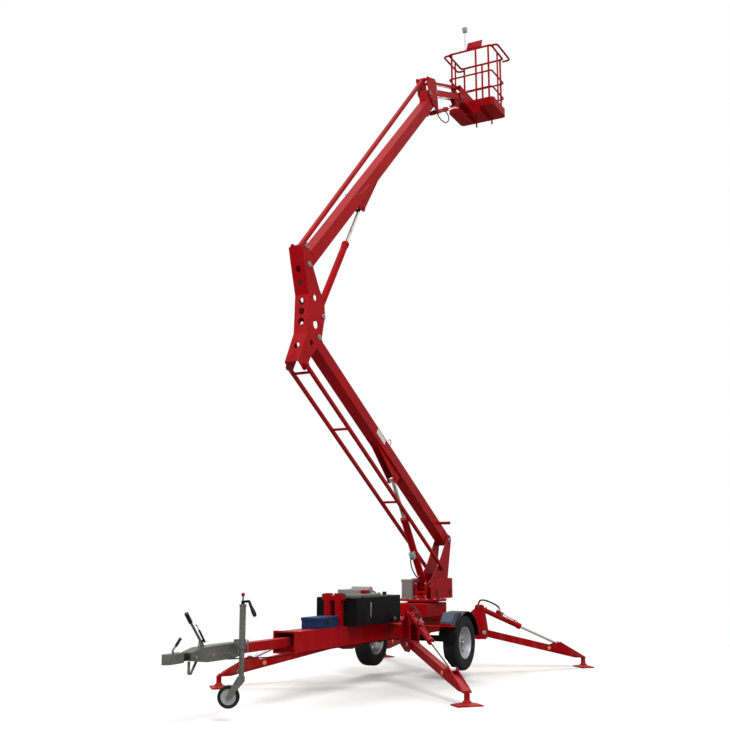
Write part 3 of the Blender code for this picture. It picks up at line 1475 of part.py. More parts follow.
def build_platform(pivot):
    """The basket and its bracket, in a frame whose local X points away from the boom."""
    platform = body("platform", (pivot[0], 0, pivot[1]), 0, math.pi)
    near, far = pivot[0] - BASKET_NEAR, pivot[0] - BASKET_FAR
    floor = BASKET_FLOOR - pivot[1]
    link = (-LINK_OFFSET[0], LINK_OFFSET[1])
    inner, outer = JIB_HALF + SIDE_PLAY, JIB_HALF + SIDE_PLAY + HEAD_PLATE
    end = outer + 0.012
    outline = [
        *arc((0, 0), 0.04, 170, 300, 4),
        (near - 0.03, floor - 0.11),
        (near - 0.008, floor - 0.11),
        (near - 0.008, floor + TOE_HEIGHT - 0.02),
        *arc(link, 0.036, 60, 190, 3),
    ]
    adds = [plate(outline, (inner, outer)), plate(outline, (-outer, -inner))]
    adds.append(block((near - 0.012, near - SEAT), (-0.16, 0.16), (floor - 0.10, floor + TOE_HEIGHT - 0.03)))
    for side in (1, -1):
        adds.append(
            block(
                (near - 0.012 + 0.001, far - 0.10),
                sorted((side * 0.11, side * 0.15)),
                (floor - 0.05, floor - SEAT),
            )
        )
    for spot in ((0, 0), link):
        adds.append(pin(spot[0], spot[1], RAM_PIN, (-end, end)))
    solid("platform_bracket", platform, "red", adds)

    corners = [(near, BASKET_HALF), (far, BASKET_HALF), (far, -BASKET_HALF), (near, -BASKET_HALF)]
    outside = [(v.x, v.y) for v in rounded([(x, y, 0) for x, y in corners], BASKET_CORNER, 4, True)]
    wall = TOE_THICK
    shrunk = [
        (near + wall, BASKET_HALF - wall),
        (far - wall, BASKET_HALF - wall),
        (far - wall, -BASKET_HALF + wall),
        (near + wall, -BASKET_HALF + wall),
    ]
    inside = [(v.x, v.y) for v in rounded([(x, y, 0) for x, y in shrunk], BASKET_CORNER - wall, 4, True)]
    pegs = []
    for y in PEG_Y:
        x = far - PEG_INSET
        pegs.append(bar((x, y, floor + EMBED), (x, y, floor - PEG_LENGTH), PEG_RADIUS, 8))
    solid(
        "basket_floor",
        platform,
        "red",
        [slab(outside, (floor, floor + TOE_HEIGHT)), *pegs],
        [slab(inside, (floor + FLOOR_THICK, floor + TOE_HEIGHT + 0.1))],
    )
    basket_rails(platform, pivot, near, far, floor)


def basket_rails(platform, pivot, near, far, floor):
    top, mid, low = RAIL_TOP - pivot[1], RAIL_MID - pivot[1], RAIL_LOW - pivot[1]
    inset = RAIL_INSET
    x0, x1, y1 = near + inset, far - inset, BASKET_HALF - inset
    foot = floor + FLOOR_THICK + SEAT

    def ring(height, steps):
        corners = [(x0, y1, height), (x1, y1, height), (x1, -y1, height), (x0, -y1, height)]
        return rounded(corners, BASKET_CORNER - inset, steps, True)

    adds = [tube(ring(top, 2), RAIL_RADIUS, RAIL_SIDES, True)]
    adds.append(tube(ring(mid, 1), RAIL_RADIUS * 0.85, RAIL_SIDES, True))
    adds.append(tube(ring(low, 1), RAIL_RADIUS * 0.8, RAIL_SIDES, True))
    for side in (1, -1):
        end = x1 - LOOP_SET + LOOP_OUT
        start = x0 + LOOP_SET
        loop = [(start, y1 - 0.03), (start, y1 + LOOP_OUT), (end, y1 + LOOP_OUT), (end, y1 - 0.03)]
        route = [(x, side * y, top) for x, y in loop]
        adds.append(tube(rounded(route, 0.05, 2), RAIL_RADIUS, RAIL_SIDES))
    posts = [
        (x0, y1 - 0.05),
        (x0, -y1 + 0.05),
        (x1, y1 - 0.05),
        (x1, -y1 + 0.05),
        (x0, 0.10),
        (x1, 0.0),
    ]
    for x, y in posts:
        adds.append(bar((x, y, foot), (x, y, top), RAIL_RADIUS * 0.95, RAIL_SIDES))
    for y in (y1, -y1):
        x = (x0 + x1) / 2
        adds.append(block((x - 0.02, x + 0.02), (y - 0.008, y + 0.008), (foot, top)))
    solid("basket_rails", platform, "red", adds)

    clear = RAIL_RADIUS + SEAT
    panel_y = (-0.20, 0.05)
    lift = top + clear
    panel = [(x0 - 0.02, lift), (x0 + 0.012, lift), (x0 + 0.06, lift + 0.14), (x0 + 0.052, lift + 0.142)]
    solid("platform_panel", platform, "red", [plate(panel, panel_y)])
    mast = (x0, 0.075)
    head = 0.03
    lamp = LAMP_TOP - pivot[1]
    solid(
        "work_lamp",
        platform,
        "grey",
        [
            bar((mast[0], mast[1], lift), (mast[0], mast[1], lamp - 0.07), 0.006, 8),
            block(
                (mast[0] - head, mast[0] + head),
                (mast[1] - head - 0.005, mast[1] + head + 0.005),
                (lamp - 0.08, lamp),
                0.006,
            ),
        ],
    )


def main():
    for old in list(bpy.data.objects):
        bpy.data.objects.remove(old)
    root = body("chassis", (0, 0, 0))
    build_frame(root)
    build_drawbar(root)
    build_coupling(root)
    build_jockey(root)
    build_axle(root)
    build_wheels()
    build_mudguards(root)
    build_chock(root)
    build_outriggers()
    build_deck(root)
    build_turntable()
    build_lower_boom()
    build_elbow()
    build_upper_boom()
    build_jib()


main()
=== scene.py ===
"""Dresses the towable articulated boom lift: paint, tyres, cylinders, rails, hoses and small parts.

Metres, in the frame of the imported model: +X to the drawbar, +Y to the trailer's left, +Z up.
A station is a distance along the trailer from the middle of its four feet.
"""
import json
import math

import bmesh
import bpy
from mathutils import Matrix, Vector


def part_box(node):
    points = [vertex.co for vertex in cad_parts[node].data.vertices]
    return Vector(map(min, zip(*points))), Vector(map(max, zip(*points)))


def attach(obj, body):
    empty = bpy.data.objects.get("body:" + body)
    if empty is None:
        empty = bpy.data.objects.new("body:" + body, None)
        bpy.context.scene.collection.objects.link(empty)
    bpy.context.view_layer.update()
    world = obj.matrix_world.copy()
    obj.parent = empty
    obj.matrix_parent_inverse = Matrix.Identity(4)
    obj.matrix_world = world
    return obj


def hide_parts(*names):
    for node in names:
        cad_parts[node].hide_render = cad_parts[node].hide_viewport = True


bl_info = {
    "name": "Boom lift dressing",
    "version": (1, 0, 0),
    "blender": (4, 5, 0),
    "location": "View3D > Sidebar > Boom lift",
    "description": "Builds the finished surfaces of a towable boom lift around its solids",
    "category": "Object",
}

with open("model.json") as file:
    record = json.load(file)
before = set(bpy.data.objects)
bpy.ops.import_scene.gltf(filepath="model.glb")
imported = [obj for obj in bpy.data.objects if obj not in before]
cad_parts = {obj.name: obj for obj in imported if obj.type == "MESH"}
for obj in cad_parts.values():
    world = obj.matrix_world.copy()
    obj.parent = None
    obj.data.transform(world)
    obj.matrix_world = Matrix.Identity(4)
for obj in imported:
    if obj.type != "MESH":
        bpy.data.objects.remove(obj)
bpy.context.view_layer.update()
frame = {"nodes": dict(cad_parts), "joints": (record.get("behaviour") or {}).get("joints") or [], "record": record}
JOINTS = {joint["child"]: joint for joint in frame["joints"]}

# Sizes shared with the solids
AXLE_STATION = 0.07
SHIFT = JOINTS["wheel_left"]["pos_m"][0] - AXLE_STATION
TYRE_RADIUS = 0.325
HUB_RADIUS = 0.062
LEG_HEADING = math.radians(47)
LEG_FOOT = 1.44
LEG_FALL = 0.335
LEG_HALF = 0.04
RAIL_RADIUS = 0.0165
HOSE_DIAMETER = 0.016

# Legs: name, front or rear, left or right
LEGS = (("FL", 1, 1), ("FR", 1, -1), ("RL", -1, 1), ("RR", -1, -1))

# Cylinders: pin distance, barrel length, barrel radius, rod radius, half widths of base eye and rod eye,
# and how far the rod reaches into the barrel
LEG_RAM = (1.2205, 0.62, 0.034, 0.0165, 0.034, 0.0357, 0.10)
RAMS = {
    "lift_ram": (1.5894, 1.02, 0.046, 0.024, 0.05, 0.0357, 0.45),
    "upper_ram": (1.8752, 1.22, 0.041, 0.021, 0.05, 0.0337, 0.30),
    "jib_ram": (1.0418, 0.60, 0.031, 0.015, 0.04, 0.0257, 0.25),
    **{"leg_ram_" + name: LEG_RAM for name, *_ in LEGS},
}
RAM_PIN_WALL = 0.0196
ROD_PLAY = 0.0012

# Hose routes in the frame of the body that carries them, from port to port
TIP_HOSE = (
    (0.12, -0.1003, -0.06), (0.12, -0.118, -0.06), (0.085, -0.135, -0.11), (0.07, -0.14, -0.20),
    (0.14, -0.14, -0.29), (0.27, -0.14, -0.315), (0.42, -0.138, -0.29), (0.54, -0.13, -0.21),
    (0.57, -0.12, -0.13), (0.52, -0.11, -0.088), (0.46, -0.098, -0.086), (0.4365, -0.082, -0.086),
    (0.4365, -0.0623, -0.086),
)
LIFT_HOSE = (
    (0.515, 0.0, -0.0953), (0.515, 0.0, -0.115), (0.475, 0.0, -0.152), (0.39, 0.0, -0.165),
    (0.29, 0.0, -0.14), (0.225, 0.0, -0.11), (0.20, 0.0, -0.085), (0.20, 0.0, -0.0653),
)

# Half angle from which a corner is left alone, and the angle up to which pieces shade smooth
NEARLY_STRAIGHT = math.radians(89)
SHARP = math.radians(35.0)


def place(station, y, z):
    """A point in the model's frame from its station."""
    return Vector((station + SHIFT, y, z))


def pivot(child):
    return Vector(JOINTS[child]["pos_m"])


def axes(origin, along, across):
    """The matrix of a local frame from its X axis and its Y axis."""
    along, across = Vector(along).normalized(), Vector(across).normalized()
    up = along.cross(across).normalized()
    turn = Matrix((along, across, up)).transposed().to_4x4()
    return Matrix.Translation(origin) @ turn


def barrel_frame(name):
    """X along the cylinder, Z on its upper side."""
    along = Vector(JOINTS[name + "_rod"]["axis"])
    across = Vector((0, 0, 1)).cross(along)
    return axes(pivot(name + "_barrel"), along, across)


def leg_frame(name, front, left):
    """X out along the leg, Z up, at the leg's hinge."""
    out = Vector((front * math.cos(LEG_HEADING), left * math.sin(LEG_HEADING), 0))
    return axes(pivot("leg_" + name), out, Vector((0, 0, 1)).cross(out))


def backward(child):
    """X to the rear and Z up: the frame of tip, jib and basket."""
    return axes(pivot(child), (-1, 0, 0), (0, -1, 0))


# Shader fields
class Field:
    """A node output that takes part in sums."""

    def __init__(self, finish, socket):
        self.finish = finish
        self.socket = socket

    def math(self, operation, *values):
        return self.finish.node("ShaderNodeMath", {"operation": operation}, dict(enumerate(values)))

    def __add__(self, other):
        return self.math("ADD", self, other)

    def __radd__(self, other):
        return self.math("ADD", other, self)

    def __sub__(self, other):
        return self.math("SUBTRACT", self, other)

    def __rsub__(self, other):
        return self.math("SUBTRACT", other, self)

    def __mul__(self, other):
        return self.math("MULTIPLY", self, other)

    def __rmul__(self, other):
        return self.math("MULTIPLY", other, self)

    def smooth(self, low, high):
        """0 below low, 1 above high, with soft ends."""
        inputs = {"Value": self, "From Min": low, "From Max": high}
        return self.finish.node("ShaderNodeMapRange", {"interpolation_type": "SMOOTHSTEP"}, inputs)


class Finish:
    """A procedural material that is read on the object's own coordinates."""

    def __init__(self, name):
        self.material = bpy.data.materials.new(name)
        self.material.use_nodes = True
        self.tree = self.material.node_tree
        self.surface = self.tree.nodes["Principled BSDF"]
        self.place = self.node("ShaderNodeTexCoord", output="Object")

    def node(self, kind, settings=None, inputs=None, output=0):
        node = self.tree.nodes.new(kind)
        for name, value in (settings or {}).items():
            setattr(node, name, value)
        for name, value in (inputs or {}).items():
            self.feed(node.inputs[name], value)
        return Field(self, node.outputs[output])

    def feed(self, socket, value):
        if isinstance(value, Field):
            self.tree.links.new(value.socket, socket)
        else:
            socket.default_value = value

    def noise(self, scale, detail=3.0, rough=0.55, at=None):
        inputs = {"Vector": at or self.place, "Scale": scale, "Detail": detail, "Roughness": rough}
        return self.node("ShaderNodeTexNoise", None, inputs)

    def stretched(self, factors):
        return self.node("ShaderNodeMapping", None, {"Vector": self.place, "Scale": factors})

    def cells(self, scale, output="Distance"):
        return self.node("ShaderNodeTexVoronoi", None, {"Vector": self.place, "Scale": scale}, output)

    def mix(self, factor, first, second):
        inputs = {0: factor, 6: tinted(first), 7: tinted(second)}
        return self.node("ShaderNodeMix", {"data_type": "RGBA"}, inputs, 2)

    def height(self):
        return self.node("ShaderNodeSeparateXYZ", None, {0: self.place}, "Z")

    def upward(self):
        normal = self.node("ShaderNodeTexCoord", output="Normal")
        return self.node("ShaderNodeSeparateXYZ", None, {0: normal}, "Z")

    def edge(self, radius):
        """1 along outer and inner edges, 0 on flat ground."""
        soft = self.node("ShaderNodeBevel", {"samples": 4}, {"Radius": radius})
        plain = self.node("ShaderNodeNewGeometry", output="Normal")
        match = self.node("ShaderNodeVectorMath", {"operation": "DOT_PRODUCT"}, {0: soft, 1: plain}, 1)
        return 1.0 - match.smooth(0.80, 0.985)

    def bump(self, height, strength, distance):
        inputs = {"Height": height, "Strength": strength, "Distance": distance}
        return self.node("ShaderNodeBump", None, inputs)

    def finish(self, **sockets):
        """Sets the shader's sockets: a number as it is, a field by a link."""
        for name, value in sockets.items():
            self.feed(self.surface.inputs[name.replace("_", " ")], value)


def tinted(colour):
    return (*colour, 1.0) if isinstance(colour, tuple) else colour


def shade(colour, factor, lift=0.0):
    """A colour made darker or paler."""
    return tuple(min(1.0, part * factor + lift) for part in colour)


# Shapes
def placed(shape, matrix):
    bmesh.ops.transform(shape, matrix=matrix, verts=shape.verts)
    return shape


def facing(at, along):
    """The matrix that puts a shape's origin at a point with its Z axis along a direction."""
    turn = Vector(along).to_track_quat("Z", "Y").to_matrix().to_4x4()
    return Matrix.Translation(at) @ turn


def cuboid(x, y, z, bevel=0.0, segments=2):
    shape = bmesh.new()
    bmesh.ops.create_cube(shape, size=1.0)
    size = Matrix.Diagonal((x[1] - x[0], y[1] - y[0], z[1] - z[0], 1.0))
    middle = Vector(((x[0] + x[1]) / 2, (y[0] + y[1]) / 2, (z[0] + z[1]) / 2))
    placed(shape, Matrix.Translation(middle) @ size)
    if bevel:
        round_edges(shape, shape.edges[:], bevel, segments)
    return shape


def round_edges(shape, edges, width, segments=2):
    bmesh.ops.bevel(
        shape, geom=edges, offset=width, segments=segments, profile=0.5, affect="EDGES",
        material=-1, clamp_overlap=True,
    )


def slab(x0, x1, y0, y1, z0, z1, bevel=0.0, segments=2):
    """A cuboid between two stations."""
    return cuboid((x0 + SHIFT, x1 + SHIFT), (min(y0, y1), max(y0, y1)), (z0, z1), bevel, segments)


def cylinder(start, end, radius, sides=32, bevel=0.0, tip=None):
    start, end = Vector(start), Vector(end)
    shape = bmesh.new()
    bmesh.ops.create_cone(
        shape, cap_ends=True, segments=sides, radius1=radius, radius2=tip or radius,
        depth=(end - start).length,
    )
    if bevel:
        rims = [edge for edge in shape.edges if abs(edge.verts[0].co.z - edge.verts[1].co.z) < 1e-6]
        round_edges(shape, rims, bevel)
    return placed(shape, facing((start + end) / 2, end - start))


def lathe(profile, sides=48, closed=True):
    """A (radius, height) profile spun about Z."""
    shape = bmesh.new()
    points = [shape.verts.new((r, 0, h)) for r, h in profile]
    pairs = list(zip(points, points[1:])) + ([(points[-1], points[0])] if closed else [])
    edges = [shape.edges.new(pair) for pair in pairs]
    bmesh.ops.spin(
        shape, geom=points + edges, cent=(0, 0, 0), axis=(0, 0, 1), angle=2 * math.pi,
        steps=sides, use_merge=True,
    )
    bmesh.ops.remove_doubles(shape, verts=shape.verts, dist=1e-6)
    bmesh.ops.recalc_face_normals(shape, faces=shape.faces)
    return shape


def pipe(points, radius, sides=12, closed=False):
    """A round tube extruded ring by ring along points."""
    points = [Vector(point) for point in points]
    count = len(points)
    shape = bmesh.new()
    ring = bmesh.ops.create_circle(shape, cap_ends=False, segments=sides, radius=radius)["verts"]
    frames = []
    normal = None
    for index, point in enumerate(points):
        before = points[index - 1] if index or closed else None
        after = points[(index + 1) % count] if closed or index < count - 1 else None
        into = (point - before).normalized() if before is not None else (after - point).normalized()
        out = (after - point).normalized() if after is not None else into
        along = (into + out).normalized()
        if normal is None:
            helper = Vector((0, 0, 1)) if abs(along.z) < 0.9 else Vector((1, 0, 0))
            normal = helper.cross(along)
        normal = (normal - normal.dot(along) * along).normalized()
        side = along.cross(normal)
        frames.append(Matrix.Translation(point) @ Matrix((normal, side, along)).transposed().to_4x4())
    bmesh.ops.transform(shape, matrix=frames[0], verts=ring)
    edges = first = shape.edges[:]
    last = frames[0]
    for matrix in frames[1:]:
        grown = bmesh.ops.extrude_edge_only(shape, edges=edges)["geom"]
        ring = [item for item in grown if isinstance(item, bmesh.types.BMVert)]
        added = [item for item in grown if isinstance(item, bmesh.types.BMEdge)]
        edges = [edge for edge in added if all(corner in ring for corner in edge.verts)]
        bmesh.ops.transform(shape, matrix=matrix @ last.inverted(), verts=ring)
        last = matrix
    if closed:
        bmesh.ops.bridge_loops(shape, edges=edges + first)
    else:
        bmesh.ops.holes_fill(shape, edges=edges + first, sides=0)
    bmesh.ops.recalc_face_normals(shape, faces=shape.faces)
    return shape


def filleted(corners, radius, steps=6, closed=False):
    """The path through corners with each inner one rounded."""
    corners = [Vector(corner) for corner in corners]
    count = len(corners)
    path = []
    for index, corner in enumerate(corners):
        into = (corners[index - 1] - corner).normalized()
        out = (corners[(index + 1) % count] - corner).normalized()
        half = into.angle(out) / 2
        if half > NEARLY_STRAIGHT or not closed and index in (0, count - 1):
            path.append(corner)
            continue
        reach = radius / math.tan(half)
        centre = corner + (into + out).normalized() * radius / math.sin(half)
        first, last = corner + into * reach - centre, corner + out * reach - centre
        for step in range(steps + 1):
            path.append(centre + first.normalized().slerp(last.normalized(), step / steps) * radius)
    return path


def flowing(points, steps=6):
    """A smooth curve through the points."""
    points = [Vector(point) for point in points]
    ends = [points[0] * 2 - points[1], *points, points[-1] * 2 - points[-2]]
    path = []
    for index in range(len(points) - 1):
        a, b, c, d = ends[index : index + 4]
        for step in range(steps):
            t = step / steps
            bend, twist = 2 * a - 5 * b + 4 * c - d, 3 * b - a - 3 * c + d
            path.append(0.5 * (2 * b + (c - a) * t + bend * t * t + twist * t**3))
    return path + [points[-1]]


def joined(shapes):
    """One bmesh that holds several."""
    whole = bmesh.new()
    for shape in shapes:
        mesh = bpy.data.meshes.new("part")
        shape.to_mesh(mesh)
        whole.from_mesh(mesh)
        bpy.data.meshes.remove(mesh)
        shape.free()
    return whole


def hex_bolt(at, along, size):
    """A bolt head with its washer, standing on a face."""
    rise = size * 0.12
    washer = cylinder((0, 0, 0), (0, 0, rise), size * 0.75, 20)
    head = cylinder((0, 0, rise), (0, 0, rise + size * 0.42), size * 0.56, 6, bevel=size * 0.04)
    return placed(joined([washer, head]), facing(at, along))


def linked(name, data):
    item = bpy.data.objects.new(name, data)
    bpy.context.scene.collection.objects.link(item)
    return item


def meshed(name, shape, material):
    """An object in the scene from a bmesh."""
    mesh = bpy.data.meshes.new(name)
    shape.to_mesh(mesh)
    shape.free()
    mesh.materials.append(material)
    return linked(name, mesh)


def piece(name, shape, finish, body, stands_for=(), at=None):
    """A visible piece of one or more shapes that rides on a body, and may stand for its solids."""
    shape = joined(shape) if isinstance(shape, list) else shape
    if at is not None:
        placed(shape, at)
    item = meshed(name, shape, bpy.data.materials[finish])
    item.data.shade_smooth()
    item.data.set_sharp_from_angle(angle=SHARP)
    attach(item, body)
    if stands_for:
        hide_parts(*stands_for)
    return item


def pierced_disc(inner, outer, holes, ring, radius, height, thick):
    """A flat ring with round holes: one sector laid round its hole, then spun into the others."""
    shape = bmesh.new()
    half = math.pi / holes
    arc = [half * (step / 4 - 1) for step in range(9)]
    side = [inner + (outer - inner) * step / 4 for step in (1, 2, 3)]
    edge = [(outer, angle) for angle in arc] + [(r, half) for r in reversed(side)]
    edge += [(inner, angle) for angle in reversed(arc)] + [(r, -half) for r in side]
    outline = [Vector((r * math.cos(angle), r * math.sin(angle), height)) for r, angle in edge]
    centre = Vector((ring, 0, height))
    around = [shape.verts.new(point) for point in outline]
    hole = [shape.verts.new(centre + (point - centre).normalized() * radius) for point in outline]
    for index in range(len(outline)):
        following = (index + 1) % len(outline)
        shape.faces.new((around[index], around[following], hole[following], hole[index]))
    bmesh.ops.spin(
        shape, geom=shape.verts[:] + shape.edges[:] + shape.faces[:], cent=(0, 0, 0), axis=(0, 0, 1),
        angle=2 * math.pi * (holes - 1) / holes, steps=holes - 1, use_duplicate=True,
    )
    bmesh.ops.remove_doubles(shape, verts=shape.verts, dist=1e-5)
    bmesh.ops.recalc_face_normals(shape, faces=shape.faces)
    bmesh.ops.solidify(shape, geom=shape.faces[:], thickness=thick)
    bmesh.ops.recalc_face_normals(shape, faces=shape.faces)
    return shape


def button(radius, height, dome=0.3):
    """A round head with a soft edge, standing on the origin."""
    soft = min(radius, height) * dome
    rim = [(radius, 0.0), (radius, height - soft), (radius - soft * 0.3, height - soft * 0.3)]
    return lathe([(0.0, 0.0), *rim, (radius - soft, height), (0.0, height)], 28, False)


def ribbed_sleeve(length, low, high, ribs, sides=28):
    """A grip or bellows along Z with rounded ribs."""
    profile = [(0.0, 0.0), (low, 0.0)]
    for rib in range(ribs):
        start = length * rib / ribs
        profile += [(low, start + length * 0.15 / ribs), (high, start + length * 0.35 / ribs)]
        profile += [(high, start + length * 0.70 / ribs), (low, start + length * 0.90 / ribs)]
    return lathe([*profile, (low, length), (0.0, length)], sides, False)


# Sizes and colours that a user may change
class LiftColours(bpy.types.PropertyGroup):
    red: bpy.props.FloatVectorProperty(
        name="Red paint", description="Colour of the painted steel",
        default=(0.37, 0.0020, 0.005), subtype="COLOR", min=0, max=1,
    )
    grime: bpy.props.FloatVectorProperty(
        name="Grime", description="Colour of dust and road dirt",
        default=(0.13, 0.10, 0.08), subtype="COLOR", min=0, max=1,
    )
    zinc: bpy.props.FloatVectorProperty(
        name="Zinc", description="Colour of the galvanised coupling",
        default=(0.15, 0.15, 0.145), subtype="COLOR", min=0, max=1,
    )


class LiftSizes(bpy.types.PropertyGroup):
    tread_depth: bpy.props.FloatProperty(
        name="Tread depth", description="Depth of the tyre's grooves", default=0.007, unit="LENGTH"
    )
    edge_round: bpy.props.FloatProperty(
        name="Edge rounding", description="Rounding of plate edges", default=0.003, unit="LENGTH"
    )


class LiftView(bpy.types.PropertyGroup):
    eye_height: bpy.props.FloatProperty(
        name="Eye height", description="Height of the camera above the ground", default=1.42, unit="LENGTH"
    )
    pitch: bpy.props.FloatProperty(
        name="Pitch", description="Upward tilt of the camera", default=math.radians(11.0), unit="ROTATION"
    )


GROUPS = (("lift_colours", LiftColours), ("lift_sizes", LiftSizes), ("lift_view", LiftView))

# Camera: focal length and picture width in pixels, sensor in millimetres, station and side,
# level direction
FOCAL = 1000.0
IMAGE = 730.0
SENSOR = 36.0
EYE = (11.65, 5.46)
LOOK = (-0.883, -0.469)

# Floor: radius, depth under the ground, grey that it casts back, where it fades to plain white
FLOOR_RADIUS = 70.0
FLOOR_DROP = 0.0005
FLOOR_GREY = 0.37
FLOOR_FADE = (3.0, 9.0)

# Strength of the sky as a light, and the point that the lamps face
SKY_LIGHT = 0.62
LAMP_AIM = Vector((0, 0, 3.0))

# Lamps: name, place, size, power
LAMPS = (
    ("key", (9.0, 9.0, 13.0), 7.0, 1500.0),
    ("fill", (10.0, -7.0, 8.0), 6.0, 420.0),
    ("back", (-9.0, -3.0, 11.0), 6.0, 500.0),
)


class Step:
    """What the operators share."""

    bl_options = {"UNDO"}


class PlaceCamera(Step, bpy.types.Operator):
    """Set the camera where the machine is looked up at from its front left"""

    bl_idname = "boomlift.camera"
    bl_label = "Camera"

    def execute(self, context):
        scene = context.scene
        settings = scene.lift_view
        lens = bpy.data.cameras.new("camera")
        lens.sensor_width = SENSOR
        lens.lens = FOCAL * SENSOR / IMAGE
        lens.clip_end = 200.0
        camera = linked("camera", lens)
        level, tilt = math.cos(settings.pitch), math.sin(settings.pitch)
        look = Vector((LOOK[0] * level, LOOK[1] * level, tilt))
        camera.location = (EYE[0] + SHIFT, EYE[1], settings.eye_height)
        camera.rotation_euler = look.to_track_quat("-Z", "Y").to_euler()
        scene.camera = camera
        return {"FINISHED"}


class BuildStage(Step, bpy.types.Operator):
    """Lay the pale floor and set the soft light"""

    bl_idname = "boomlift.stage"
    bl_label = "Floor and light"

    def execute(self, context):
        scene = context.scene
        scene.view_settings.view_transform = "Standard"
        floor = bmesh.new()
        bmesh.ops.create_circle(floor, cap_ends=True, segments=96, radius=FLOOR_RADIUS)
        item = meshed("floor", floor, self.floor_finish())
        item.location = (0, 0, -FLOOR_DROP)
        self.sky(scene)
        for name, at, size, power in LAMPS:
            lamp = bpy.data.lights.new(name, "AREA")
            lamp.shape = "DISK"
            lamp.size = size
            lamp.energy = power
            holder = linked(name, lamp)
            holder.location = at
            holder.rotation_euler = (LAMP_AIM - Vector(at)).to_track_quat("-Z", "Y").to_euler()
        return {"FINISHED"}

    def floor_finish(self):
        """Pale near the machine, where it keeps the shadow, and plain white further out."""
        finish = Finish("floor_pale")
        away = finish.node("ShaderNodeVectorMath", {"operation": "LENGTH"}, {0: finish.place}, 1)
        path = finish.node("ShaderNodeLightPath", output="Is Camera Ray")
        far = away.smooth(*FLOOR_FADE) * path
        glow = finish.node("ShaderNodeEmission", None, {"Color": (1, 1, 1, 1), "Strength": 1.0})
        tone = finish.mix(path, (FLOOR_GREY,) * 3, (1.0, 1.0, 1.0))
        finish.finish(Base_Color=tone, Roughness=1.0, Specular_IOR_Level=0.0)
        shader = Field(finish, finish.surface.outputs[0])
        both = finish.node("ShaderNodeMixShader", None, {0: far, 1: shader, 2: glow})
        finish.tree.links.new(both.socket, finish.tree.nodes["Material Output"].inputs[0])
        return finish.material

    def sky(self, scene):
        """White where it is seen, dimmer as a light."""
        world = bpy.data.worlds.new("studio")
        world.use_nodes = True
        scene.world = world
        tree = world.node_tree
        tree.nodes.clear()
        path = tree.nodes.new("ShaderNodeLightPath")
        seen = path.outputs["Is Camera Ray"]
        for ray in ("Is Glossy Ray", "Is Transmission Ray"):
            either = tree.nodes.new("ShaderNodeMath")
            either.operation = "MAXIMUM"
            tree.links.new(seen, either.inputs[0])
            tree.links.new(path.outputs[ray], either.inputs[1])
            seen = either.outputs[0]
        strength = tree.nodes.new("ShaderNodeMapRange")
        strength.inputs["To Min"].default_value = SKY_LIGHT
        strength.inputs["To Max"].default_value = 1.0
        tree.links.new(seen, strength.inputs["Value"])
        light = tree.nodes.new("ShaderNodeBackground")
        light.inputs["Color"].default_value = (1, 1, 1, 1)
        tree.links.new(strength.outputs[0], light.inputs["Strength"])
        out = tree.nodes.new("ShaderNodeOutputWorld")
        tree.links.new(light.outputs[0], out.inputs[0])


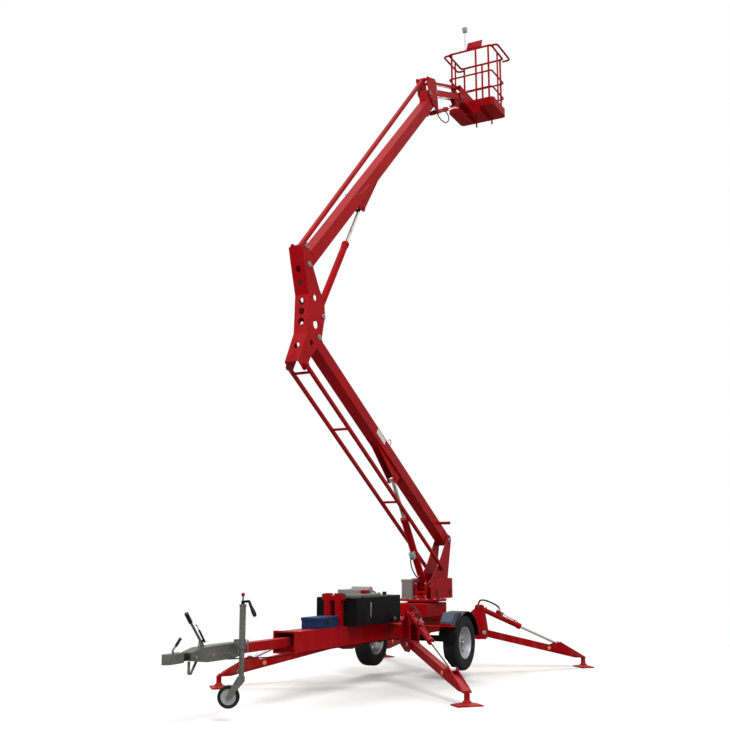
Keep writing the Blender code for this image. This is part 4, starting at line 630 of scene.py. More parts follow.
class MixFinishes(Step, bpy.types.Operator):
    """Mix the paints, metals, rubbers and plastics of the machine"""

    bl_idname = "boomlift.finishes"
    bl_label = "Finishes"

    def execute(self, context):
        colours = context.scene.lift_colours
        for name, colour, rough, coat, metallic in (
            ("red_paint", tuple(colours.red), 0.34, 0.02, 0.0),
            ("black_paint", (0.005, 0.005, 0.006), 0.42, 0.05, 0.0),
            ("grey_paint", (0.28, 0.265, 0.25), 0.42, 0.1, 0.0),
            ("blue_plastic", (0.014, 0.034, 0.10), 0.45, 0.0, 0.0),
            ("silver_paint", (0.46, 0.46, 0.47), 0.34, 0.2, 0.35),
            ("lamp_plastic", (0.50, 0.50, 0.50), 0.45, 0.0, 0.0),
            # The weld bead's paler pink red is a painted highlight along the bead, whose own paint is the boom's
            # red
            ("weld_bead", (0.42, 0.10, 0.11), 0.40, 0.1, 0.0),
            ("chock_plastic", (0.08, 0.10, 0.14), 0.5, 0.0, 0.0),
        ):
            self.painted(name, colour, tuple(colours.grime), rough, coat, metallic)
        self.galvanised("zinc_coat", tuple(colours.zinc))
        self.rubber("tyre_rubber", (0.010, 0.010, 0.011), 0.75)
        self.rubber("hose_rubber", (0.010, 0.010, 0.011), 0.45)
        self.rubber("grip_rubber", (0.010, 0.010, 0.010), 0.55)
        self.chromed("chrome_rod")
        self.steel("bolt_steel", (0.42, 0.42, 0.43), 0.32)
        self.lens("amber_lens", (0.75, 0.20, 0.02))
        self.lens("clear_lens", (0.62, 0.64, 0.64))
        self.label("blank_label", (0.66, 0.62, 0.58))
        return {"FINISHED"}

    def painted(self, name, colour, grime, rough, coat, metallic):
        """Painted highlight on top, where upward faces are made paler as if lit from above; dusty low down, worn
        along the edges, with small chips.
        """
        finish = Finish(name)
        broad = finish.noise(1.3, 4.0)
        fine = finish.noise(38.0, 3.0)
        streaks = finish.noise(9.0, 4.0, 0.6, finish.stretched((1.0, 1.0, 0.12)))
        base = finish.mix(broad.smooth(0.35, 0.68), shade(colour, 0.80), colour)
        # Upward faces painted paler: a painted highlight of the light from above
        top = finish.upward().smooth(0.2, 0.9) * (0.25 + 0.35 * fine.smooth(0.3, 0.7))
        base = finish.mix(top, base, shade(colour, 1.25, 0.065))
        low = 1.0 - finish.height().smooth(0.05, 0.95)
        dirt = (low * 0.30 + 0.06) * streaks.smooth(0.45, 0.80)
        base = finish.mix(dirt, base, grime)
        worn = finish.edge(0.004) * finish.noise(17.0, 4.0, 0.65).smooth(0.44, 0.60)
        base = finish.mix(worn * 0.55, base, shade(colour, 0.5, 0.035))
        chips = (finish.noise(70.0, 2.0) * fine).smooth(0.42, 0.46)
        base = finish.mix(chips * 0.4, base, shade(colour, 0.3))
        relief = fine * 0.6 + finish.noise(160.0, 2.0) * 0.4 - chips * 0.5
        finish.finish(
            Base_Color=base,
            Roughness=rough + fine * 0.12 + dirt * 0.5 + worn * 0.2,
            Metallic=metallic,
            Specular_IOR_Level=0.03,
            Coat_Weight=(1.0 - dirt - worn) * coat,
            Coat_Roughness=0.10,
            Normal=finish.bump(relief, 0.06, 0.002),
        )

    def galvanised(self, name, colour):
        """Spangled zinc with brown stains."""
        finish = Finish(name)
        spangle = finish.cells(55.0, "Color")
        tone = finish.node("ShaderNodeSeparateColor", None, {0: spangle}, 0)
        broad = finish.noise(6.0, 4.0)
        base = finish.mix(tone * 0.5 + broad * 0.5, shade(colour, 0.55), shade(colour, 1.35))
        stain = finish.noise(14.0, 5.0, 0.65).smooth(0.58, 0.78)
        base = finish.mix(stain * 0.55, base, (0.09, 0.06, 0.04))
        worn = finish.edge(0.003) * broad
        base = finish.mix(worn * 0.5, base, shade(colour, 1.8))
        bump = finish.bump(finish.noise(90.0, 3.0), 0.12, 0.003)
        rough = 0.42 + tone * 0.18 + stain * 0.25 - worn * 0.15
        finish.finish(Base_Color=base, Roughness=rough, Metallic=0.7, Normal=bump)

    def rubber(self, name, colour, rough):
        finish = Finish(name)
        broad = finish.noise(7.0, 4.0)
        base = finish.mix(broad.smooth(0.45, 0.75) * 0.6, colour, (0.035, 0.031, 0.027))
        base = finish.mix(finish.edge(0.003) * 0.4, base, (0.05, 0.047, 0.043))
        bump = finish.bump(finish.noise(120.0, 3.0), 0.10, 0.001)
        rough = rough + broad * 0.15
        finish.finish(Base_Color=base, Roughness=rough, Specular_IOR_Level=0.2, Normal=bump)

    def chromed(self, name):
        finish = Finish(name)
        streak = finish.noise(60.0, 2.0)
        base = finish.mix(streak, (0.55, 0.54, 0.53), (0.72, 0.71, 0.70))
        base = finish.mix(finish.noise(9.0, 4.0).smooth(0.55, 0.75) * 0.5, base, (0.20, 0.16, 0.12))
        bump = finish.bump(finish.noise(140.0, 2.0), 0.02, 0.001)
        finish.finish(Base_Color=base, Roughness=0.10 + streak * 0.12, Metallic=1.0, Normal=bump)

    def steel(self, name, colour, rough):
        finish = Finish(name)
        grain = finish.noise(80.0, 3.0)
        base = finish.mix(grain, shade(colour, 0.6), colour)
        base = finish.mix(finish.edge(0.0015) * 0.5, base, shade(colour, 1.5))
        bump = finish.bump(grain, 0.05, 0.001)
        finish.finish(Base_Color=base, Roughness=rough + grain * 0.2, Metallic=0.9, Normal=bump)

    def lens(self, name, colour):
        finish = Finish(name)
        facets = finish.cells(260.0)
        base = finish.mix(facets.smooth(0.0, 0.6), shade(colour, 0.6), colour)
        bump = finish.bump(facets, 0.4, 0.002)
        finish.finish(Base_Color=base, Roughness=0.18 + facets * 0.2, Coat_Weight=0.8, Normal=bump)

    def label(self, name, colour):
        finish = Finish(name)
        wear = finish.noise(40.0, 4.0)
        base = finish.mix(wear.smooth(0.5, 0.75) * 0.5, colour, shade(colour, 0.7))
        bump = finish.bump(wear, 0.05, 0.001)
        finish.finish(Base_Color=base, Roughness=0.35 + wear * 0.25, Normal=bump)


CAD_FINISH = {
    "red": "red_paint",
    "zinc": "zinc_coat",
    "black": "black_paint",
    "rubber": "tyre_rubber",
    "tyre": "tyre_rubber",
    "chrome": "chrome_rod",
    "silver": "silver_paint",
    "grey": "grey_paint",
    "blue": "blue_plastic",
}
NODE_FINISH = {"wheel_chock": "chock_plastic", "work_lamp": "lamp_plastic"}

# Thin nodes, whose edges are rounded half as much, and nodes that keep their edges
FINE_NODES = ("jockey", "level_rod", "jib_link", "work_lamp", "handbrake", "coupling")
KEPT_NODES = ("tyre", "rim", "basket_rails", "tip_hose", "lift_hose")
WELD_REACH = 1e-5
ROUNDED_FROM = math.radians(50)


class PaintSolids(Step, bpy.types.Operator):
    """Round the edges of the machine's own solids and paint them"""

    bl_idname = "boomlift.solids"
    bl_label = "Painted solids"

    def execute(self, context):
        slots = {entry["node"]: entry["material_slot"] for entry in frame["record"]["subparts"]}
        width = context.scene.lift_sizes.edge_round
        for name, item in frame["nodes"].items():
            finish = bpy.data.materials[NODE_FINISH.get(name, CAD_FINISH[slots[name]])]
            for index in range(len(item.material_slots)):
                item.material_slots[index].material = finish
            if name.startswith(KEPT_NODES):
                continue
            weld = item.modifiers.new("weld", "WELD")
            weld.merge_threshold = WELD_REACH
            bevel = item.modifiers.new("edges", "BEVEL")
            bevel.width = width / 2 if name.startswith(FINE_NODES) else width
            bevel.segments = 2
            bevel.limit_method = "ANGLE"
            bevel.angle_limit = ROUNDED_FROM
            bevel.use_clamp_overlap = True
        return {"FINISHED"}


class LayHoses(Step, bpy.types.Operator):
    """Lay the two free hydraulic hoses with their crimped ends"""

    bl_idname = "boomlift.hoses"
    bl_label = "Free hoses"

    crimp = (0.020, 0.0092, 0.0104, 3)

    def execute(self, context):
        for name, host, matrix, route in (
            ("tip_hose", "tip_head", backward("tip_head"), TIP_HOSE),
            ("lift_hose", "lift_ram_barrel", barrel_frame("lift_ram"), LIFT_HOSE),
        ):
            path = [matrix @ Vector(point) for point in (route[0], *flowing(route[1:-1], 8), route[-1])]
            hose = piece(name + "_tube", pipe(path, HOSE_DIAMETER / 2, 14), "hose_rubber", host, [name])
            ends = [
                placed(ribbed_sleeve(*self.crimp), facing(start, following - start))
                for start, following in ((path[0], path[1]), (path[-1], path[-2]))
            ]
            fittings = piece(name + "_ends", ends, "bolt_steel", host)
            sum((b - a).length for a, b in zip(path, path[1:]))
        return {"FINISHED"}


class BuildWheels(Step, bpy.types.Operator):
    """Turn the two tyres and rims"""

    bl_idname = "boomlift.wheels"
    bl_label = "Road wheels"

    # Profiles: radius and distance along the axle
    sidewall = (
        (0.189, -0.064), (0.190, -0.072), (0.200, -0.080), (0.218, -0.087), (0.245, -0.091), (0.262, -0.091),
        (0.280, -0.0895), (0.300, -0.0845), (0.312, -0.078), (0.320, -0.068), (0.3225, -0.055),
    )
    grooves = (-0.036, -0.012, 0.012, 0.036)
    groove_half, groove_floor = 0.006, 0.0035
    well = (
        (0.180, -0.070), (0.184, -0.078), (0.1875, -0.079), (0.1875, -0.074), (0.186, -0.068), (0.186, 0.068),
        (0.1875, 0.074), (0.1875, 0.079), (0.181, 0.078), (0.176, 0.070), (0.170, 0.034), (0.166, 0.020),
        (0.149, 0.0155), (0.149, 0.0115), (0.168, 0.014), (0.175, 0.0),
    )
    hub = (
        (0.0215, -0.025), (0.050, -0.025), (0.060, -0.005), (0.087, 0.0115), (0.087, 0.0155), (0.074, 0.021),
        (HUB_RADIUS, 0.034), (0.0215, 0.034),
    )
    cap = ((0.0, 0.034), (0.032, 0.034), (0.031, 0.058), (0.026, 0.066), (0.0, 0.068))
    # Disc: inner and outer radius, holes, their circle and radius, height, thickness
    disc = (0.085, 0.151, 6, 0.118, 0.021, 0.0135, 0.004)
    nuts, bolt_ring, nut_size = 5, 0.046, 0.019
    lug_depth, lug_turn, lug_band = 0.0165, 3.75, (0.040, 0.0785)

    def execute(self, context):
        depth = context.scene.lift_sizes.tread_depth
        for side, sign in (("left", 1), ("right", -1)):
            body = "wheel_" + side
            for name, shape, finish, nodes in (
                ("tyre_tread_", self.tyre(depth), "tyre_rubber", ["tyre_" + side]),
                ("rim_disc_", self.rim(), "silver_paint", ["rim_" + side]),
                ("wheel_nuts_", self.hub_nuts(), "bolt_steel", []),
            ):
                piece(name + side, shape, finish, body, nodes, facing(pivot(body), (0, sign, 0)))
        return {"FINISHED"}

    def tyre(self, depth):
        """A carcass with four grooves and lugs along its shoulders."""
        r = TYRE_RADIUS - 0.001
        profile = list(self.sidewall)
        for middle in self.grooves:
            profile += [(r, middle - self.groove_half), (r - depth, middle - self.groove_floor)]
            profile += [(r - depth, middle + self.groove_floor), (r, middle + self.groove_half)]
        profile += [(a, -b) for a, b in reversed(self.sidewall)]
        shape = lathe(profile, 96)
        gaps = [face for face in shape.faces if self.lug_gap(face, r - self.lug_depth)]
        sunk = bmesh.ops.inset_region(
            shape, faces=gaps, thickness=0.0012, depth=-depth * 0.7, use_even_offset=True
        )
        if not sunk["faces"]:
            raise RuntimeError("the tread lugs were not cut")
        return shape

    def lug_gap(self, face, inner):
        """Whether a face is one of the slots between the shoulder lugs."""
        middle = face.calc_center_median()
        turn = math.degrees(math.atan2(middle.y, middle.x)) % 360.0
        shoulder = middle.xy.length > inner and self.lug_band[0] < abs(middle.z) < self.lug_band[1]
        return shoulder and int(turn / self.lug_turn) % 3 == 0

    def rim(self):
        valve = cylinder((0.160, 0.0, 0.016), (0.158, 0.0, 0.045), 0.004, 12, tip=0.003)
        return [lathe(self.well, 72), lathe(self.hub, 60), pierced_disc(*self.disc), valve]

    def hub_nuts(self):
        shapes = []
        for index in range(self.nuts):
            angle = 2 * math.pi * (index + 0.5) / self.nuts
            at = (self.bolt_ring * math.cos(angle), self.bolt_ring * math.sin(angle), self.hub[-1][1])
            shapes.append(hex_bolt(at, (0, 0, 1), self.nut_size))
        return [*shapes, lathe(self.cap, 32, False)]


class BuildRams(Step, bpy.types.Operator):
    """Turn the hydraulic cylinders with their glands, eyes, valve blocks, pipes and polished rods"""

    bl_idname = "boomlift.rams"
    bl_label = "Cylinders"

    # Valve blocks and hose bosses in the cylinder's own frame
    lift_valve = ((0.47, 0.56), (-0.03, 0.03), (-0.095, -0.03))
    leg_valve = ((0.24, 0.33), (-0.028, 0.028), (0.022, 0.072))
    bosses = {
        "lift_ram": ((0.20, 0.0, -0.03), (0.20, 0.0, -0.065)),
        "jib_ram": ((0.20, 0.02, 0.0), (0.20, 0.062, 0.0)),
    }
    plain_pipe = (
        (0.33, 0.0, 0.056), (0.37, 0.0, 0.056), (0.40, 0.0, 0.046), (0.55, 0.0, 0.046), (0.58, 0.0, 0.030),
    )
    bent_pipe = (
        (0.27, 0.0, 0.078), (0.262, 0.0, 0.100), (0.22, 0.0, 0.122), (0.12, 0.0, 0.128), (0.02, 0.0, 0.118),
        (-0.03, 0.0, 0.090), (-0.035, 0.0, 0.040),
    )
    rod_bore = 0.004

    def execute(self, context):
        for name, sizes in RAMS.items():
            self.ram(name, *sizes)
        for name, *_ in LEGS:
            self.plumbing("leg_ram_" + name)
        block = cuboid(*self.lift_valve, 0.003)
        piece("lift_valve_block", block, "silver_paint", "lift_ram_barrel", at=barrel_frame("lift_ram"))
        return {"FINISHED"}

    def ram(self, name, length, barrel, radius, rod, base_half, eye_half, reach):
        """A hollow barrel with its gland, ports and base eye, then the rod with its own eye."""
        matrix = barrel_frame(name)
        outer, bore = radius * 1.05, rod + ROD_PLAY
        tube = [
            (bore, barrel + 0.001), (rod + 0.006, barrel + 0.002), (radius + 0.003, barrel + 0.001),
            (radius + 0.0045, barrel - 0.003), (radius + 0.0045, barrel - 0.042),
            (radius + 0.002, barrel - 0.047), (radius - 0.001, barrel - 0.050),
            (radius - 0.001, outer * 0.9 + 0.012), (radius - 0.005, outer * 0.9), (bore, outer * 0.9),
        ]
        parts = [placed(lathe(tube, 40), facing((0, 0, 0), (1, 0, 0)))]
        parts.append(self.eye(0, RAM_PIN_WALL, outer, base_half, 40))
        if name in self.bosses:
            parts.append(cylinder(*self.bosses[name], 0.011, 20, 0.001))
        for spot in (outer + 0.05, barrel - 0.10):
            parts.append(cylinder((spot, 0, radius - 0.004), (spot, 0, radius + 0.012), 0.011, 20, 0.001))
        piece(name + "_tube", parts, "red_paint", name + "_barrel", [name + "_barrel"], matrix)
        shaft = cylinder((barrel - reach, 0, 0), (length - rod * 1.2, 0, 0), rod, 40)
        parts = [shaft, self.eye(length, self.rod_bore, rod * 1.68, eye_half, 32)]
        piece(name + "_shaft", parts, "chrome_rod", name + "_rod", [name + "_rod"], matrix)

    def eye(self, along, inner, outer, half, sides):
        """A bored boss across the cylinder."""
        rim = [(inner, 0.0), (outer - 0.002, 0.0), (outer, 0.002)]
        boss = [(r, z - half) for r, z in rim] + [(r, half - z) for r, z in reversed(rim)]
        return placed(lathe(boss, sides), facing((along, 0, 0), (0, 1, 0)))

    def plumbing(self, name):
        """A leg cylinder's valve block, its pipe to the gland and the bent hose pipe over its base."""
        matrix, body = barrel_frame(name), name + "_barrel"
        x, y, z = self.leg_valve
        block = [cuboid(x, y, z, 0.003), pipe(filleted(self.plain_pipe, 0.015, 5), 0.005, 12)]
        piece(name + "_valve", block, "red_paint", body, at=matrix)
        piece(name + "_pipe", pipe(flowing(self.bent_pipe, 6), 0.0105, 14), "hose_rubber", body, at=matrix)
        plugs = [hex_bolt((0.27, 0, z[1]), (0, 0, 1), 0.026), hex_bolt((x[1], 0, 0.056), (1, 0, 0), 0.015)]
        crimp = ribbed_sleeve(0.026, 0.0115, 0.0125, 3)
        plugs.append(placed(crimp, facing((0.268, 0, z[1] + 0.008), (-0.15, 0, 1))))
        middle = (x[0] + x[1]) / 2 + 0.02
        plugs += [hex_bolt((middle, side * y[1], 0.052), (0, side, 0), 0.014) for side in (1, -1)]
        piece(name + "_fittings", plugs, "bolt_steel", body, at=matrix)


class BuildBasket(Step, bpy.types.Operator):
    """Bend the basket's rails and posts, and raise its tread floor"""

    bl_idname = "boomlift.basket"
    bl_label = "Basket"

    # Rails: how far their middle lies inside the basket's outside, their heights and thicknesses
    inset = 0.0208
    half = 0.385 - inset
    levels = ((9.45, 1.0), (9.02, 0.85), (8.75, 0.8))
    near, far = -2.19 - inset, -2.77 + inset
    corner = 0.06 - inset
    loop_out = 0.095
    loop_set = 0.02
    loop_tuck = 0.03
    post_set = 0.05
    # Tread: height, rows and columns, distance from the edge, one oval
    floor_top = 8.452
    tread = (7, 10)
    margin = 0.04
    oval = ((-0.015, 0.015), (-0.004, 0.004), (-0.001, 0.0018), 0.0016, 1)

    def execute(self, context):
        near, far, half = self.near + SHIFT, self.far + SHIFT, self.half
        top = self.levels[0][0]
        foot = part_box("basket_rails")[0][2]
        corners = [(near, half), (far, half), (far, -half), (near, -half)]
        shapes = []
        for height, share in self.levels:
            ring = filleted([(x, y, height) for x, y in corners], self.corner, 6, True)
            shapes.append(pipe(ring, RAIL_RADIUS * share, 14, True))
        start, end = near - self.loop_set, far + self.loop_set - self.loop_out + 0.0025
        inner, outer = half - self.loop_tuck, half + self.loop_out
        for side in (1, -1):
            bent = ((start, inner), (start, outer), (end, outer), (end, inner))
            loop = [(x, side * y, top) for x, y in bent]
            shapes.append(pipe(filleted(loop, 0.05, 6), RAIL_RADIUS, 14))
        posts = [(x, side * (half - self.post_set)) for x in (near, far) for side in (1, -1)]
        for x, y in [*posts, (near, 0.10), (far, 0.0)]:
            socket = ribbed_sleeve(0.012, 0.019, 0.022, 1, 20)
            shapes.append(cylinder((x, y, foot), (x, y, top), RAIL_RADIUS * 0.95, 20))
            shapes.append(placed(socket, Matrix.Translation((x, y, foot))))
        middle = (near + far) / 2
        for y in (half, -half):
            across = (y - 0.008, y + 0.008)
            shapes.append(cuboid((middle - 0.02, middle + 0.02), across, (foot, top), 0.002))
        piece("basket_tubes", shapes, "red_paint", "platform", ["basket_rails"])
        piece("basket_tread", self.lozenges(), "red_paint", "platform")
        return {"FINISHED"}

    def lozenges(self):
        """Raised ovals in alternate directions over the basket's floor."""
        rows, columns = self.tread
        length, width = self.near - self.far - 2 * self.margin, 2 * self.half - 2 * self.margin
        shapes = []
        for row in range(rows):
            for column in range(columns):
                x = self.far + SHIFT + self.margin + row * length / (rows - 1)
                y = -self.half + self.margin + column * width / (columns - 1)
                turn = Matrix.Rotation(math.radians(45 if (row + column) % 2 else -45), 4, "Z")
                at = Matrix.Translation((x, y, self.floor_top))
                shapes.append(placed(cuboid(*self.oval), at @ turn))
        return shapes


class BuildPins(Step, bpy.types.Operator):
    """Fit the pin heads with their keeper plates and bolts"""

    bl_idname = "boomlift.pins"
    bl_label = "Pins"

    # Joint's child, body that carries the head, outer face, radius
    pins = (
        ("lower_boom", "turntable", 0.088, 0.030),
        ("lift_ram_barrel", "turntable", 0.088, 0.026),
        ("elbow", "elbow", 0.086, 0.030),
        ("upper_boom", "elbow", 0.086, 0.030),
        ("level_rod", "elbow", 0.086, 0.024),
        ("upper_ram_barrel", "elbow", 0.086, 0.026),
        ("tip_head", "tip_head", 0.086, 0.026),
        ("jib_arm", "tip_head", 0.086, 0.022),
        ("jib_link", "tip_head", 0.086, 0.020),
        ("platform", "platform", 0.070, 0.020),
    )

    def execute(self, context):
        groups = {}
        for child, body, reach, radius in self.pins:
            for sign in (1, -1):
                matrix = facing(pivot(child) + Vector((0, sign * reach, 0)), (0, sign, 0))
                groups.setdefault(body, []).append(placed(self.head(radius), matrix))
        for body, shapes in groups.items():
            piece("pin_heads_" + body, shapes, "bolt_steel", body)
        return {"FINISHED"}

    def head(self, radius):
        keeper = cuboid((radius * 0.2, radius * 1.9), (-0.011, 0.011), (0.0, 0.005), 0.001)
        bolt = hex_bolt((radius * 1.5, 0, 0.005), (0, 0, 1), 0.011)
        return joined([button(radius, 0.012), keeper, bolt])


class BuildLegs(Step, bpy.types.Operator):
    """Fit the legs' reflectors, rings, locks and foot joints"""

    bl_idname = "boomlift.legs"
    bl_label = "Outrigger fittings"

    reflector_at = 0.93
    lens_radius = 0.026
    ring_at = 1.22
    lock_at = (0, 0.080, -0.012)
    hinge_face = 0.0697
    collar = ((0.0305, 0.030), (0.046, 0.030), (0.046, 0.036), (0.038, 0.048), (0.0305, 0.056))

    def execute(self, context):
        for name, front, left in LEGS:
            body = "leg_" + name
            matrix = leg_frame(name, front, left)
            lenses, backs, heads = [], [], []
            for side in (1, -1):
                lens = (self.reflector_at, side * (LEG_HALF + 0.0005), self.fall(self.reflector_at))
                backs.append(placed(button(self.lens_radius + 0.003, 0.004), facing(lens, (0, side, 0))))
                lenses.append(placed(button(self.lens_radius, 0.007), facing(lens, (0, side, 0))))
                hinge = facing((0, side * self.hinge_face, 0), (0, side, 0))
                heads.append(placed(button(0.026, 0.006), hinge))
            eye = (self.ring_at, LEG_HALF, self.fall(self.ring_at))
            stud = cylinder(eye, (eye[0], LEG_HALF + 0.016, eye[2]), 0.007, 16, 0.001)
            ring = self.hoop((eye[0], LEG_HALF + 0.014, eye[2] - 0.02), 0.024, 0.004)
            foot = Matrix.Translation((LEG_FOOT, 0, -pivot(body).z))
            piece(body + "_foot_collar", lathe(self.collar, 40), "red_paint", body, at=matrix @ foot)
            piece(body + "_reflector_backs", backs, "black_paint", body, at=matrix)
            piece(body + "_reflectors", lenses, "amber_lens", body, at=matrix)
            piece(body + "_ring", [ring, stud], "bolt_steel", body, at=matrix)
            lock = self.hoop(self.lock_at, 0.026, 0.005)
            piece(name + "_lock_ring", lock, "grip_rubber", "chassis", at=matrix)
            piece(name + "_hinge_heads", heads, "bolt_steel", "chassis", at=matrix)
        return {"FINISHED"}

    def fall(self, along):
        return -along * LEG_FALL / LEG_FOOT

    def hoop(self, centre, radius, wire):
        """An upright ring along the leg."""
        ring = []
        for degrees in range(0, 360, 20):
            turn = math.radians(degrees)
            ring.append(Vector(centre) + Vector((radius * math.cos(turn), 0, radius * math.sin(turn))))
        return pipe(ring, wire, 10, True)


class BuildTowing(Step, bpy.types.Operator):
    """Fit the coupling's grips and bellows, the handbrake's strut, the crank and the jockey wheel"""

    bl_idname = "boomlift.towing"
    bl_label = "Coupling and jockey wheel"

    # Stations and heights
    shaft_z = 0.6115
    bellows_at = 4.603
    handle = ((4.745, 0.7065), (4.683, 0.7668))
    lever = ((4.40, 0.705), (4.62, 0.97))
    flange_bolts = (4.675, 4.715)
    clamp_bolts = (3.93, 4.06, 4.30, 4.54)
    jockey = (3.96, 0.125, 1.0223)
    crank_turn = math.radians(118)
    crank_bend = (0.062, 0.006)
    crank_end = (0.115, -0.11)
    # Share of the crank's grip and radius there
    grip = (
        (0.0, 0.0), (0.0, 0.0125), (0.3, 0.015), (0.62, 0.0195), (0.85, 0.019), (1.0, 0.012), (1.0, 0.0),
    )
    # Half of the small wheel's tyre and disc: radius and distance along the axle
    wheel_side = (
        (0.070, 0.010), (0.071, 0.019), (0.078, 0.0225), (0.090, 0.0248), (0.0965, 0.021), (0.0995, 0.014),
    )
    wheel_crown = ((0.0995, -0.004), (0.097, 0.0), (0.0995, 0.004))
    wheel_disc = ((0.0105, -0.0225), (0.028, -0.0225), (0.030, -0.010), (0.0705, -0.012))

    def execute(self, context):
        rubber, steel = [], []
        bellows = ribbed_sleeve(0.052, 0.0275, 0.036, 5)
        rubber.append(placed(bellows, facing(place(self.bellows_at, 0, self.shaft_z), (1, 0, 0))))
        low, high = [place(station, 0, z) for station, z in self.handle]
        rubber.append(self.sleeve(low, high, 0.0105, 0.0135, 6))
        low, high = [place(station, 0, z) for station, z in self.lever]
        along = (high - low).normalized()
        rubber.append(self.sleeve(high - along * 0.108, high, 0.0165, 0.0182, 8))
        strut = low + Vector((-0.02, 0.026, 0.012))
        link = strut + along * 0.19
        steel.append(cylinder(strut + along * 0.13, strut + along * 0.20, 0.0038, 16))
        steel.append(cylinder(link - Vector((0, 0.016, 0)), link, 0.005, 16))
        strut_tube = cylinder(strut, strut + along * 0.135, 0.009, 24, 0.001)
        piece("handbrake_strut", strut_tube, "black_paint", "chassis")
        for x in self.flange_bolts:
            for side in (1, -1):
                steel.append(hex_bolt(place(x, side * 0.034, self.shaft_z + 0.036), (0, 0, 1), 0.015))
        for x in self.clamp_bolts:
            for side in (1, -1):
                steel.append(hex_bolt(place(x, side * 0.0577, 0.60), (0, side, 0), 0.019))
        hub = place(*self.jockey)
        out = Vector((math.cos(self.crank_turn), math.sin(self.crank_turn), 0))
        bend, end = [
            hub + out * away + Vector((0, 0, rise)) for away, rise in (self.crank_bend, self.crank_end)
        ]
        drop = (end - bend).length
        grip = [(radius, drop * share) for share, radius in self.grip]
        rubber.append(placed(lathe(grip, 28, False), facing(bend, end - bend)))
        knob = button(0.0165, 0.022, 0.6)
        piece("crank_knob", knob, "red_paint", "chassis", at=Matrix.Translation(hub + Vector((0, 0, 0.079))))
        piece("towing_grips", rubber, "grip_rubber", "chassis")
        piece("towing_bolts", steel, "bolt_steel", "chassis")
        self.jockey_wheel()
        return {"FINISHED"}

    def sleeve(self, start, end, low, high, ribs):
        return placed(ribbed_sleeve((end - start).length, low, high, ribs), facing(start, end - start))

    def jockey_wheel(self):
        body = "jockey_wheel"
        matrix = facing(pivot(body), Vector(JOINTS[body]["axis"]))
        tyre = [(a, -b) for a, b in self.wheel_side] + [*self.wheel_crown, *reversed(self.wheel_side)]
        disc = [*self.wheel_disc, *((a, -b) for a, b in reversed(self.wheel_disc))]
        piece("jockey_tyre", lathe(tyre, 56), "tyre_rubber", body, [body], matrix)
        piece("jockey_disc", lathe(disc, 40), "silver_paint", body, at=matrix)


